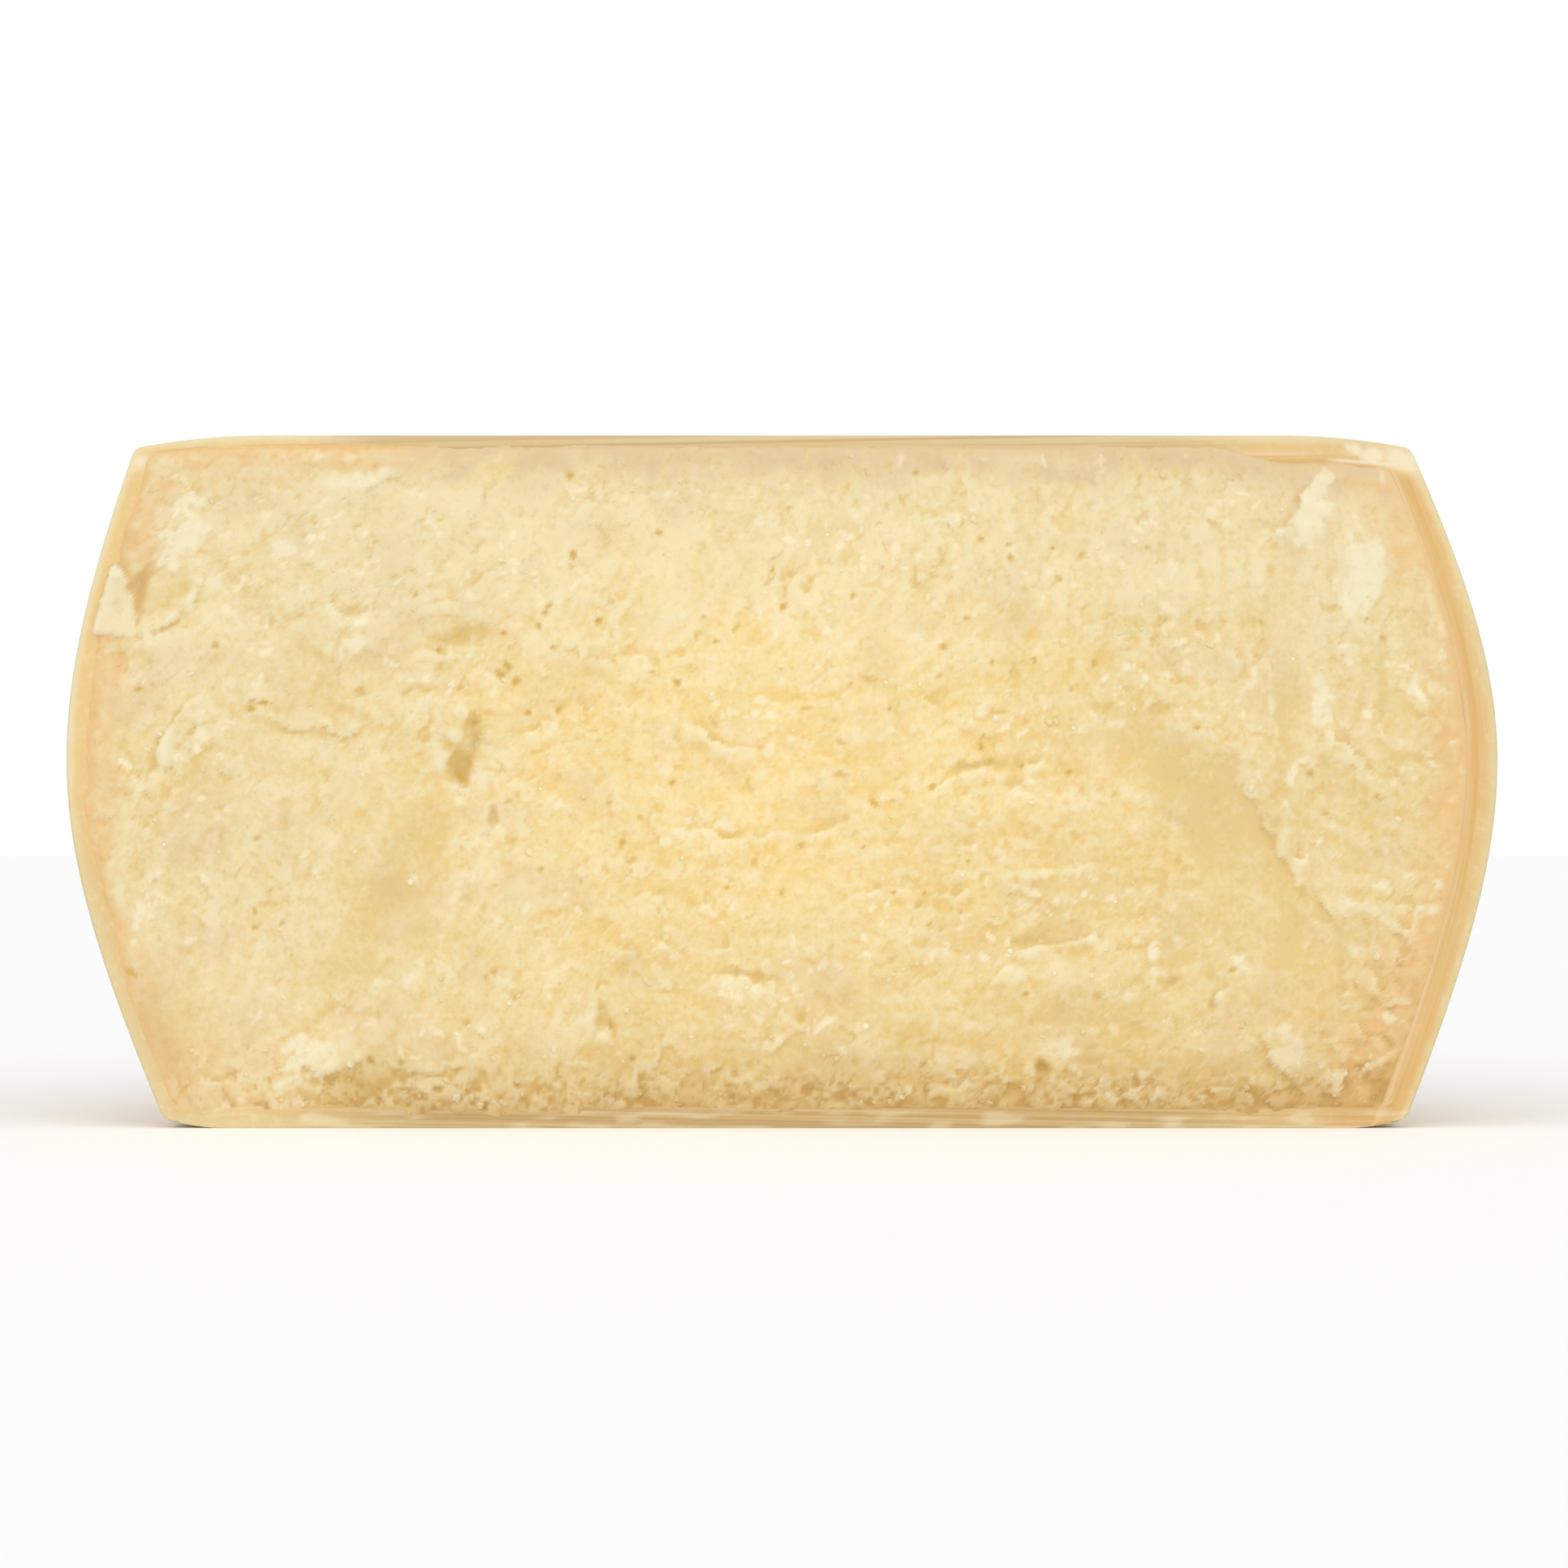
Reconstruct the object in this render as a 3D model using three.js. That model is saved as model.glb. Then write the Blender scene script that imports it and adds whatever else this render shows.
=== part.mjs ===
// Half of a wheel of hard, aged cheese, standing on one of its flat faces.
//
// The wheel is barrel-shaped, with a bulging heel between two flats whose rims fall away a little.
// It was scored all round with a knife, through the rind, and then split open with wedges. So the front is
// a smooth knife-cut band, and inside it a rough broken face that stands proud of the band.
//
// Millimetres, +Z up. The broken face looks towards -Y, and the heel is at the back. The origin lies on the
// resting flat, under the middle of the piece.

import * as THREE from "three";

const { clamp, degToRad, lerp, smoothstep } = THREE.MathUtils;

// Driving dimensions of the wheel.
const wheelHeight = 213; // from flat to flat
const bellyRadius = 220; // where the heel bulges most
const bellyHeight = 114; // of that widest line above the resting flat
const bellyRound = 75; // the larger it is, the longer the heel stays upright round the belly
const heelSlope = {
  right: { above: 0.55, below: 0.46 }, // how fast the heel draws in, far from the belly
  left: { above: 0.43, below: 0.49 },
};
const topRim = { fall: 3.4, width: 38 }; // how far the upper flat falls at its rim, and over what width
const baseRim = { fall: 2.2, width: 16 };
const bearing = { spots: 5, lift: 0.7, width: 45 }; // where the resting flat bears, and its waver between
const edgeRound = 2.5; // the corner between a flat and the heel

// Driving dimensions of the front.
const band = { left: 6.6, right: 9.4, top: 3.6, base: 5.2 }; // the width of the knife-cut band on each side
const bandWander = 1.1; // how far the band's inner edge strays
const wanderSize = 11; // the distance from one stray to the next
const stepOut = 1.5; // from the band up to the broken face
const stepRun = 5; // the width of that step
const baseShoulder = { depth: 1.8, width: 20 }; // the broken face leans back towards the base
const hummocks = { size: 34, rise: 1.1 }; // the slow unevenness of the whole face
const plates = { size: 15, level: 1, tilt: 1.2 }; // the crumbling plates that the paste breaks into

// How finely the surface is cut into faces.
const frontColumns = 88;
const heelColumns = 28;
const bodyRows = 38;
const capScales = [0.83, 0.5]; // rings on each flat, as shares of its outline
const bevelShare = 0.3; // of the edge's round, where its one ring between flat and heel lies
const stepsToPoint = 3; // straight steps along a ledge for each point of its path

// Which of the endless patterns of noise each unevenness takes.
const seeds = { hummocks: 1, plates: 5, band: 20 };

// Lumps and hollows of the broken face: the middle, the half-sizes, the turn in degrees from the horizontal
// and the rise, which is below zero for a hollow.
const lumps = [
  { x: -4, z: 104, long: 118, wide: 62, turn: 0, rise: 2.2 }, // the crown of the whole face
  { x: 80, z: 98, long: 34, wide: 11, turn: -2, rise: 1.4 }, // the tongue under the long ledge
  { x: 84, z: 44, long: 26, wide: 10, turn: 4, rise: 1.4 },
  { x: -23, z: 142, long: 13, wide: 12, turn: 0, rise: 1 },
  { x: -104, z: 122, long: 13, wide: 5, turn: 84, rise: 2.6 }, // the ridge beside the pit
  { x: -150, z: 104, long: 40, wide: 20, turn: 12, rise: 1.4 },
  { x: -140, z: 23, long: 14, wide: 8, turn: 20, rise: 1.6 }, // the flake by the lower left corner
  { x: -68, z: 27, long: 18, wide: 10, turn: -20, rise: 1.2 },
  { x: 163, z: 189, long: 11, wide: 5, turn: 70, rise: 1.2 },
  { x: 157, z: 24, long: 10, wide: 6, turn: 60, rise: 1.2 },
  { x: -97, z: 116, long: 15, wide: 5, turn: 84, rise: -5 }, // the pit
  { x: -100, z: 152, long: 13, wide: 6, turn: 4, rise: -1.6 },
  { x: -198, z: 164, long: 9, wide: 4, turn: 76, rise: -2.4 }, // the cleft beside the tooth
  { x: -122, z: 12, long: 18, wide: 5, turn: 4, rise: -1.6 },
  { x: 44, z: 28, long: 14, wide: 5, turn: -3, rise: -1.2 },
  { x: 12, z: 36, long: 10, wide: 6, turn: 20, rise: -1 },
  { x: 130, z: 97, long: 52, wide: 17, turn: -49, rise: -2.6 }, // the two smooth valleys
  { x: -118, z: 76, long: 44, wide: 17, turn: 58, rise: -2.4 },
  { x: -148, z: 150, long: 36, wide: 11, turn: -46, rise: -1.6 },
  { x: 60, z: 111, long: 13, wide: 4, turn: 3, rise: -1.2 },
  { x: 74, z: 57, long: 6, wide: 4, turn: 20, rise: -1.2 },
];
const domeFall = 1.4; // how fast a lump falls off: the larger, the narrower its foot

// Ledges, where one layer of the paste has broken away from the next. The paste to the left of each path,
// as it is walked from its first point, stands higher at the path and eases off behind it.
const ledges = [
  { rise: 2.8, ease: 12, path: [[34, 107], [28, 100], [14, 92], [-4, 91], [-27, 92], [-43, 95]] },
  { rise: 3.4, ease: 14, path: [[96, 107], [74, 112], [58, 110], [46, 105], [40, 99]] },
  { rise: 2.1, ease: 10, path: [[-7, 118], [-20, 119], [-29, 127], [-33, 134]] },
  { rise: 2.2, ease: 10, path: [[21, 167], [14, 173.5], [3, 167], [-1, 159]] },
  { rise: 2, ease: 9, path: [[60, 76], [44, 72], [24, 72], [10, 66]] },
  { rise: 2.1, ease: 10, path: [[-1, 39], [-8, 47], [-22, 48]] },
  { rise: 3.2, ease: 13, path: [[101, 57], [86, 57.5], [71, 51], [60, 42]] },
  { rise: 1.7, ease: 9, path: [[108, 80], [88, 80.5], [62, 77]] },
  { rise: 2, ease: 9, path: [[129, 178], [124, 168], [118, 166]] },
  { rise: 1.8, ease: 9, path: [[141, 136], [139, 147], [118, 149]] },
  { rise: 3.1, ease: 10, path: [[163, 203], [159, 190], [153, 180]] },
  { rise: 2.5, ease: 10, path: [[182, 107], [171, 121], [167, 127]] },
  { rise: 3.4, ease: 18, path: [[126, 124], [142, 105], [153, 84], [164, 71], [178, 53]] },
  { rise: 2, ease: 9, path: [[120, 62], [112.5, 51], [115, 43]] },
  { rise: 2, ease: 8, path: [[202, 180], [197.5, 158], [199, 138]] },
  { rise: 3.6, ease: 13, path: [[-103, 106], [-98.5, 119], [-98, 136]] },
  { rise: 2.2, ease: 9, path: [[-116, 154], [-100, 158.5], [-87, 154]] },
  { rise: 2.1, ease: 9, path: [[-100, 144], [-111, 150], [-114, 157]] },
  { rise: 2.5, ease: 13, path: [[-158, 127], [-143, 123], [-131, 121.5], [-123, 130]] },
  { rise: 2.8, ease: 14, path: [[-179, 135], [-191, 117], [-203, 102]] },
  { rise: 2.8, ease: 12, path: [[-199, 156], [-185, 156.5], [-180, 171]] },
  { rise: 2, ease: 9, path: [[-140, 162], [-150, 167.5], [-157, 164]] },
  { rise: 2.7, ease: 8, path: [[-155, 184], [-140, 190], [-124, 199], [-106, 203]] },
  { rise: 2.1, ease: 8, path: [[-85, 78], [-97, 80.5], [-104, 82]] },
  { rise: 2.9, ease: 11, path: [[-45, 11], [-50, 27], [-59, 40]] },
  { rise: 3.6, ease: 9, path: [[-153, 11], [-134, 18], [-118, 17.5], [-86, 16]] },
  { rise: 3.1, ease: 9, path: [[145, 31], [150, 20], [162, 8]] },
  { rise: 2.5, ease: 8, path: [[-6, 24], [4, 28], [9, 31]] },
];
const ledgeRun = 3.2; // the width of a ledge's steep side
const ledgeEnds = 0.16; // the share of a path over which its rise dies out at each end

// A tooth of paste that has stayed on the rind and lies over the band.
const tooth = { corners: [[-205.8, 176.5], [-211.8, 152], [-194.5, 149]], thickness: 2, edge: 2.2 };

// Reproducible noise. A lattice point and a seed give a number from 0 to 1.
function hash(i, j, seed) {
  const s = Math.sin(i * 127.1 + j * 311.7 + seed * 74.7) * 43758.5453;
  return s - Math.floor(s);
}

// Smooth noise from -1 to 1, one hill to a unit.
function hills(x, z, seed) {
  const i = Math.floor(x);
  const j = Math.floor(z);
  const u = smoothstep(x - i, 0, 1);
  const v = smoothstep(z - j, 0, 1);
  const low = lerp(hash(i, j, seed), hash(i + 1, j, seed), u);
  const high = lerp(hash(i, j + 1, seed), hash(i + 1, j + 1, seed), u);
  return 2 * lerp(low, high, v) - 1;
}

// Broken plates, one to a unit: each has its own level and its own tilt, and it ends where its neighbour
// is nearer.
function brokenPlates(x, z, seed) {
  let nearest = Infinity;
  let level = 0;
  for (let i = Math.floor(x) - 1; i <= Math.floor(x) + 1; i++) {
    for (let j = Math.floor(z) - 1; j <= Math.floor(z) + 1; j++) {
      const dx = x - i - hash(i, j, seed);
      const dz = z - j - hash(i, j, seed + 1);
      const distance = Math.hypot(dx, dz);
      if (distance < nearest) {
        nearest = distance;
        const tilt = dx * (2 * hash(i, j, seed + 3) - 1) + dz * (2 * hash(i, j, seed + 4) - 1);
        level = plates.level * (2 * hash(i, j, seed + 2) - 1) + plates.tilt * tilt;
      }
    }
  }
  return level;
}

// The height of a lump at a point: a smooth bell on an ellipse.
function lumpAt({ x, z, long, wide, turn, rise }, px, pz) {
  const angle = degToRad(turn);
  const along = (px - x) * Math.cos(angle) + (pz - z) * Math.sin(angle);
  const across = (pz - z) * Math.cos(angle) - (px - x) * Math.sin(angle);
  const r = (along / long) ** 2 + (across / wide) ** 2;
  return rise * Math.exp(-domeFall * r);
}

// A ledge's path as short straight steps, each with the share of the path that lies before it.
function steps(path) {
  const curve = new THREE.SplineCurve(path.map(([x, z]) => new THREE.Vector2(x, z)));
  return curve.getPoints(path.length * stepsToPoint);
}

// The height of a ledge at a point, from its signed distance to the path.
function ledgeAt({ rise, ease, points }, px, pz) {
  let nearest = Infinity;
  let side = 0;
  let share = 0;
  for (let k = 0; k + 1 < points.length; k++) {
    const a = points[k];
    const b = points[k + 1];
    const dx = b.x - a.x;
    const dz = b.y - a.y;
    const t = clamp(((px - a.x) * dx + (pz - a.y) * dz) / (dx * dx + dz * dz), 0, 1);
    const distance = Math.hypot(px - a.x - t * dx, pz - a.y - t * dz);
    if (distance < nearest) {
      nearest = distance;
      side = Math.sign(dx * (pz - a.y) - dz * (px - a.x));
      share = (k + t) / (points.length - 1);
    }
  }
  const ends = smoothstep(Math.min(share, 1 - share), 0, ledgeEnds);
  const behind = side > 0 ? Math.exp(-nearest / ease) : 0;
  return rise * ends * behind * smoothstep(side * nearest, -ledgeRun / 2, ledgeRun / 2);
}

// The tooth is a flat chip with a narrow bevel: its height follows the distance in from its nearest side.
function toothAt(px, pz) {
  const inside = Math.min(
    ...tooth.corners.map(([ax, az], k) => {
      const [bx, bz] = tooth.corners[(k + 1) % tooth.corners.length];
      return ((bx - ax) * (pz - az) - (bz - az) * (px - ax)) / Math.hypot(bx - ax, bz - az);
    }),
  );
  return tooth.thickness * smoothstep(inside, 0, tooth.edge);
}

for (const ledge of ledges) ledge.points = steps(ledge.path);

// The heel's radius at an angle round the axis, from the right end of the cut over the back to the left end,
// and at a height. Far from the belly it is a cone, and near the flats it rounds off.
function heelRadius(angle, z) {
  const part = z > bellyHeight ? "above" : "below";
  const slope = lerp(heelSlope.right[part], heelSlope.left[part], (1 - Math.cos(angle)) / 2);
  const drawIn = slope * (Math.hypot(z - bellyHeight, bellyRound) - bellyRound);
  const intoRound = clamp(edgeRound - Math.min(z, wheelHeight - z), 0, edgeRound);
  return bellyRadius - drawIn - edgeRound + Math.sqrt(edgeRound ** 2 - intoRound ** 2);
}

// A rim falls away as a parabola over the last stretch before the heel.
function rimFall({ fall, width }, radius, outline) {
  return fall * clamp(1 - (outline - radius) / width, 0, 1) ** 2;
}

// The resting flat bears on a few spots towards its rim, evenly set round the heel, and wavers clear of the
// board between them. Farther in, under the middle, it is a plane.
function waver(angle, radius, outline) {
  const swing = (1 - Math.cos(2 * (bearing.spots - 1) * angle)) / 2;
  const { lift, width } = bearing;
  return lift * swing * smoothstep(width - (outline - radius), 0, width / 2);
}

// How far the front stands proud of the knife's plane at a point of the cut.
function frontRelief(x, z) {
  const stray = bandWander * hills(x / wanderSize, z / wanderSize, seeds.band);
  const past = {
    left: x + heelRadius(Math.PI, z) - band.left,
    right: heelRadius(0, z) - x - band.right,
    top: wheelHeight - z - band.top,
    base: z - band.base,
  };
  let inside = 1;
  for (const depth of Object.values(past)) inside *= smoothstep(depth + stray, 0, stepRun);
  const leanBack = baseShoulder.depth * Math.exp(-((z / baseShoulder.width) ** 2));
  let paste = stepOut - leanBack;
  paste += hummocks.rise * hills(x / hummocks.size, z / hummocks.size, seeds.hummocks);
  paste += brokenPlates(x / plates.size, z / plates.size, seeds.plates);
  for (const lump of lumps) paste += lumpAt(lump, x, z);
  for (const ledge of ledges) paste += ledgeAt(ledge, x, z);
  return inside * paste + toothAt(x, z);
}

// One closed ring of the skin at a share of the height: along the front from left to right, then back round
// the heel. Inside a flat's outline the same ring is drawn in towards the middle of the flat by a scale.
function ring(share, scale) {
  const z = share * wheelHeight;
  const flatMiddle = (4 * bellyRadius) / (3 * Math.PI); // where half a disc balances
  const points = [];
  for (let k = 0; k < frontColumns; k++) {
    const x = lerp(-heelRadius(Math.PI, z), heelRadius(0, z), k / frontColumns);
    points.push([x, scale === 1 ? -frontRelief(x, z) : 0, 0]);
  }
  for (let k = 0; k < heelColumns; k++) {
    const angle = (Math.PI * k) / heelColumns;
    const radius = heelRadius(angle, z);
    points.push([radius * Math.cos(angle), radius * Math.sin(angle), angle]);
  }
  return points.map(([x, y, angle]) => {
    const px = x * scale;
    const py = flatMiddle + (y - flatMiddle) * scale;
    const radius = Math.hypot(px, py);
    const outline = heelRadius(Math.atan2(Math.max(py, 0), px), z);
    const floor = rimFall(baseRim, radius, outline) + waver(angle, radius, outline);
    const ceiling = wheelHeight - rimFall(topRim, radius, outline);
    return new THREE.Vector3(px, py, lerp(floor, ceiling, share));
  });
}

// The skin's rings from the middle of the base, up the sides, to the middle of the upper flat.
function skinRings() {
  const corner = edgeRound / wheelHeight;
  const shares = [0, bevelShare * corner];
  for (let k = 0; k <= bodyRows; k++) shares.push(lerp(corner, 1 - corner, k / bodyRows));
  shares.push(1 - bevelShare * corner, 1);
  return [
    ...capScales.toReversed().map((scale) => ring(0, scale)),
    ...shares.map((share) => ring(share, 1)),
    ...capScales.map((scale) => ring(1, scale)),
  ];
}

// Joins the rings with two triangles to each gap, and closes both ends on the middle of a flat.
function closedSkin(rings) {
  const around = rings[0].length;
  const middle = (points) => points.reduce((sum, p) => sum.add(p), new THREE.Vector3()).divideScalar(around);
  const poles = [middle(rings[0]).setZ(0), middle(rings.at(-1)).setZ(wheelHeight)];
  const base = rings.length * around;
  const faces = [];
  for (let i = 0; i + 1 < rings.length; i++) {
    for (let j = 0; j < around; j++) {
      const a = i * around + j;
      const b = i * around + ((j + 1) % around);
      faces.push(a, b, b + around, a, b + around, a + around);
    }
  }
  const top = base - around;
  for (let j = 0; j < around; j++) {
    const next = (j + 1) % around;
    faces.push(base, next, j, base + 1, top + j, top + next);
  }
  const geometry = new THREE.BufferGeometry().setFromPoints([...rings.flat(), ...poles]);
  geometry.setIndex(faces);
  return geometry;
}

// The solid, with its bounding box centred over the origin and standing on the plane Z = 0.
function halfWheel() {
  const geometry = closedSkin(skinRings());
  geometry.computeBoundingBox();
  const { min, max } = geometry.boundingBox;
  geometry.translate(-(min.x + max.x) / 2, -(min.y + max.y) / 2, -min.z);
  geometry.computeVertexNormals();
  const paste = new THREE.MeshStandardMaterial({ color: "#f1d9a0", roughness: 0.7, metalness: 0 });
  const mesh = new THREE.Mesh(geometry, paste);
  mesh.name = "cheese_half_wheel";
  return mesh;
}

const cheese = new THREE.Group();
cheese.add(halfWheel());

export default cheese;
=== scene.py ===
import bpy
import numpy as np
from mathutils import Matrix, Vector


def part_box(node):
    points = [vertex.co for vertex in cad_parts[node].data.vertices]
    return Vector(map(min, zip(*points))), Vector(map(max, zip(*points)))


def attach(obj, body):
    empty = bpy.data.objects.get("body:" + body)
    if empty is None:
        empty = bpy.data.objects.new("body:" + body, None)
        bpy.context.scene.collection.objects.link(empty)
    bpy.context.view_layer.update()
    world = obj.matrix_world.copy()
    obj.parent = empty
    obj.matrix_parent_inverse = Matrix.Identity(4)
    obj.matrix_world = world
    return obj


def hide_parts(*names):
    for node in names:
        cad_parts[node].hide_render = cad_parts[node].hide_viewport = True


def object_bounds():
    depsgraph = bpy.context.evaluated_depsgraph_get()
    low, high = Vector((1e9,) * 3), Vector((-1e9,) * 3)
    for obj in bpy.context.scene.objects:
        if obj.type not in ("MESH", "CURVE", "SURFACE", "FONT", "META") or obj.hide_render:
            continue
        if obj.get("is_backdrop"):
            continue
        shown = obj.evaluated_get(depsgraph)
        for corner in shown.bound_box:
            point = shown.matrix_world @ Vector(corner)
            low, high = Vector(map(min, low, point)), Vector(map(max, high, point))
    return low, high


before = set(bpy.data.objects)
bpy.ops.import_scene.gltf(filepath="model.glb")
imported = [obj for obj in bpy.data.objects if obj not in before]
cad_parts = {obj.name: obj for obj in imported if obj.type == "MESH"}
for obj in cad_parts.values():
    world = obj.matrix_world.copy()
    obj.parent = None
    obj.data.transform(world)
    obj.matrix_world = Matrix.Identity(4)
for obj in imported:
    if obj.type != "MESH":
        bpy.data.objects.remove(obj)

cad_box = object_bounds()

# The camera stands square to the split face, at half its height, as far off as a long lens needs. Lengths in
# this file are millimetres, with y = 0 on the plane of the knife that scored the wheel.
wheel_high = np.array(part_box("cheese_half_wheel")[1]) * 1000
belly_radius = 220.0
wheel_height = wheel_high[2]
axis_y = wheel_high[1] - belly_radius
photo_pixels = 1932
face_pixels = 1763
frame_width = 2 * belly_radius * photo_pixels / face_pixels
face_middle_pixel = 963.5
base_pixel = 1390
pixel = frame_width / photo_pixels
lens, sensor = 120.0, 36.0


def shown(name, data):
    """A new object in the scene, which holds a camera, a mesh or a lamp."""
    made = bpy.data.objects.new(name, data)
    bpy.context.scene.collection.objects.link(made)
    return made


camera = shown("camera", bpy.data.cameras.new("camera"))
camera.data.lens = lens
camera.data.sensor_width = sensor
camera.location = (
    (photo_pixels / 2 - face_middle_pixel) * pixel / 1000,
    (axis_y - frame_width * lens / sensor) / 1000,
    (base_pixel - photo_pixels / 2) * pixel / 1000,
)
camera.rotation_euler = (np.pi / 2, 0, 0)
bpy.context.scene.camera = camera


# The rind is the dried, salted and oiled outside of the wheel, a few millimetres thick. The heel took its
# bulge from a bent mould and the flats from boards and cloth. Round the split face the knife has cut it
# square, which leaves a smooth band in front of the recess where the paste sits.
belly_height = 114.0
belly_round = 75.0
heel_slope = {"right": (0.46, 0.55), "left": (0.49, 0.43)}  # below the belly, above it
top_rim = {"fall": 3.4, "width": 38.0}
base_rim = {"fall": 2.2, "width": 16.0}
bearing = {"spots": 5, "lift": 0.7, "width": 45.0}
edge_round = 2.5
band = {"left": 6.6, "right": 9.4, "top": 3.6, "base": 5.2}
top_widening = {"by": 5.2, "from": 132.0, "over": 22.0}
recess = {"depth": 14.0, "inside": 0.8, "run": 3.0}
front_columns, heel_columns, side_rows, flat_rows = 160, 360, 118, 24
flat_rings = {"outermost": 0.985, "innermost": 0.1}
corner_steps = [0, 0.12, 0.4]
crowding = {"columns": 0.7, "rows": 0.8}
swells = [(0.5, 9, 40, 61), (0.22, 40, 9, 62)]  # rise, hills to a radian, height of a hill, seed
rind_colours = {
    "straw": "#DAB976",
    "honey": "#C8A060",
    "flour": "#E5D3A6",
    "stain": "#A9814A",
}
cut_colours = {
    "outer": "#E4D3A4",
    "gold": "#E4C182",
    # The shaded pair is the outer and gold colours darkened as painted shade.
    "shaded_outer": "#DAC592",
    "shaded_gold": "#DBBB80",
    "tan": "#D7AC68",
    "pink": "#E6C79E",
    "pale": "#EFE3C2",
    "floury": "#E9D9B0",
    # Top and base: the brown of the rind along the flats, darkened as painted shade, the base the most.
    "top": "#C8A97A",
    "base": "#BA9B66",
}


def hashed(i, j, seed):
    """A number from 0 to 1 for a lattice point: the fraction left of a large multiple of a sine."""
    s = np.sin(i * 127.1 + j * 311.7 + seed * 74.7) * 43758.5453
    return s - np.floor(s)


def ease(t):
    """The smooth step 3t2 - 2t3, held at 0 below t = 0 and at 1 above t = 1."""
    t = np.clip(t, 0, 1)
    return t * t * (3 - 2 * t)


def bell(t):
    """The bell curve exp(-t2)."""
    return np.exp(-(t**2))


def hills(x, z, seed):
    """Smooth noise from -1 to 1, one hill to a unit: lattice numbers joined by the smooth step."""
    i, j = np.floor(x), np.floor(z)
    u, v = ease(x - i), ease(z - j)
    low = hashed(i, j, seed) * (1 - u) + hashed(i + 1, j, seed) * u
    high = hashed(i, j + 1, seed) * (1 - u) + hashed(i + 1, j + 1, seed) * u
    return 2 * (low * (1 - v) + high * v) - 1


def heel_radius(angle, z):
    """The heel's radius: the belly's, less slope times how far a hyperbola has drawn in at that height, and
    less the corner's quarter circle. The slope eases from the right end of the cut to the left end."""
    part = (z > belly_height).astype(int)
    left_share = (1 - np.cos(angle)) / 2
    right, left = (np.take(heel_slope[side], part) for side in ("right", "left"))
    slope = right * (1 - left_share) + left * left_share
    draw_in = slope * (np.hypot(z - belly_height, belly_round) - belly_round)
    into_round = np.clip(edge_round - np.minimum(z, wheel_height - z), 0, edge_round)
    return belly_radius - draw_in - edge_round + np.sqrt(edge_round**2 - into_round**2)


def settle(x, y, share):
    """The height of a point at a share of the wheel's height. Between the flats it is in proportion, and
    each flat falls away as a parabola over the last stretch before the heel. The base bears on a few spots
    near its rim, and between them it is lifted by a cosine of the angle."""
    angle = np.arctan2(np.maximum(y, 0), x)
    inside = heel_radius(angle, share * wheel_height) - np.hypot(x, y)
    low, fall = (rim["fall"] * np.clip(1 - inside / rim["width"], 0, 1) ** 2 for rim in (base_rim, top_rim))
    swing = (1 - np.cos(2 * (bearing["spots"] - 1) * angle)) / 2
    low = low + bearing["lift"] * swing * ease(2 - 2 * inside / bearing["width"])
    return low + (wheel_height - fall - low) * share


def side_depths(x, share):
    """How far a point of the cut lies inside its outline, by side: left, right, top and base."""
    z = share * wheel_height
    return x + heel_radius(np.pi, z), heel_radius(0.0, z) - x, wheel_height - z, z


def top_band(x):
    """The band's width along the upper flat, which grows by a smooth step towards the right."""
    return band["top"] + top_widening["by"] * ease((x - top_widening["from"]) / top_widening["over"])


def closed_grid(rows, columns):
    """Faces of a skin of rings stacked one on the next: a quad to each gap, the last column joined to the
    first, and a fan of triangles at each end to the two pole points that follow the rings."""
    i, j = np.meshgrid(np.arange(rows - 1), np.arange(columns), indexing="ij")
    a, b = i * columns + j, i * columns + (j + 1) % columns
    quads = np.stack([a, b, b + columns, a + columns], -1).reshape(-1, 4)
    k = np.arange(columns)
    following = (k + 1) % columns
    pole = rows * columns
    low_fan = np.stack([np.full(columns, pole), following, k], -1)
    high_fan = np.stack([np.full(columns, pole + 1), pole - columns + k, pole - columns + following], -1)
    return quads.tolist(), low_fan.tolist() + high_fan.tolist()


def make_piece(name, points, faces, traits, materials):
    """A smooth-shaded mesh in metres from points in millimetres, with one number a point for each trait. It
    rides on the wheel's one body and stands in for its solid."""
    mesh = bpy.data.meshes.new(name)
    mesh.from_pydata((points / 1000).tolist(), [], faces)
    for trait, values in traits.items():
        mesh.attributes.new(trait, "FLOAT", "POINT").data.foreach_set("value", np.ravel(values).astype("f4"))
    for material in materials:
        mesh.materials.append(material)
    mesh.shade_smooth()
    mesh.update()
    piece = shown(name, mesh)
    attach(piece, "root")
    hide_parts("cheese_half_wheel")
    return piece


def linear(hex_colour):
    """The sRGB hex value as linear red, green, blue and alpha."""
    s = np.array([int(hex_colour[k : k + 2], 16) / 255 for k in (1, 3, 5)])
    return (*np.where(s <= 0.04045, s / 12.92, ((s + 0.055) / 1.055) ** 2.4), 1.0)


def feed(tree, node, inputs):
    """Gives a node's sockets, by name or number, a value, a hex colour or another node's output."""
    for name, value in inputs.items():
        socket = next(s for k, s in enumerate(node.inputs) if s.enabled and name in (k, s.name))
        if isinstance(value, bpy.types.Node):
            value = next(s for s in value.outputs if s.enabled)
        if isinstance(value, bpy.types.NodeSocket):
            tree.links.new(value, socket)
        else:
            socket.default_value = linear(value) if isinstance(value, str) else value


def add(tree, kind, inputs, **settings):
    """Adds a node, gives it its settings and feeds its sockets."""
    made = tree.nodes.new(kind)
    for name, value in settings.items():
        setattr(made, name, value)
    feed(tree, made, inputs)
    return made


def new_material(name):
    """A material with its node tree and its shader."""
    material = bpy.data.materials.new(name)
    material.use_nodes = True
    return material, material.node_tree, material.node_tree.nodes["Principled BSDF"]


def from_mesh(tree, names):
    """What a pattern follows: the object's own coordinates, and the mesh's number for each named trait."""
    place = add(tree, "ShaderNodeTexCoord", {}).outputs["Object"]
    read = {name: add(tree, "ShaderNodeAttribute", {}, attribute_name=name) for name in names}
    return place, {name: node.outputs["Fac"] for name, node in read.items()}


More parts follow.
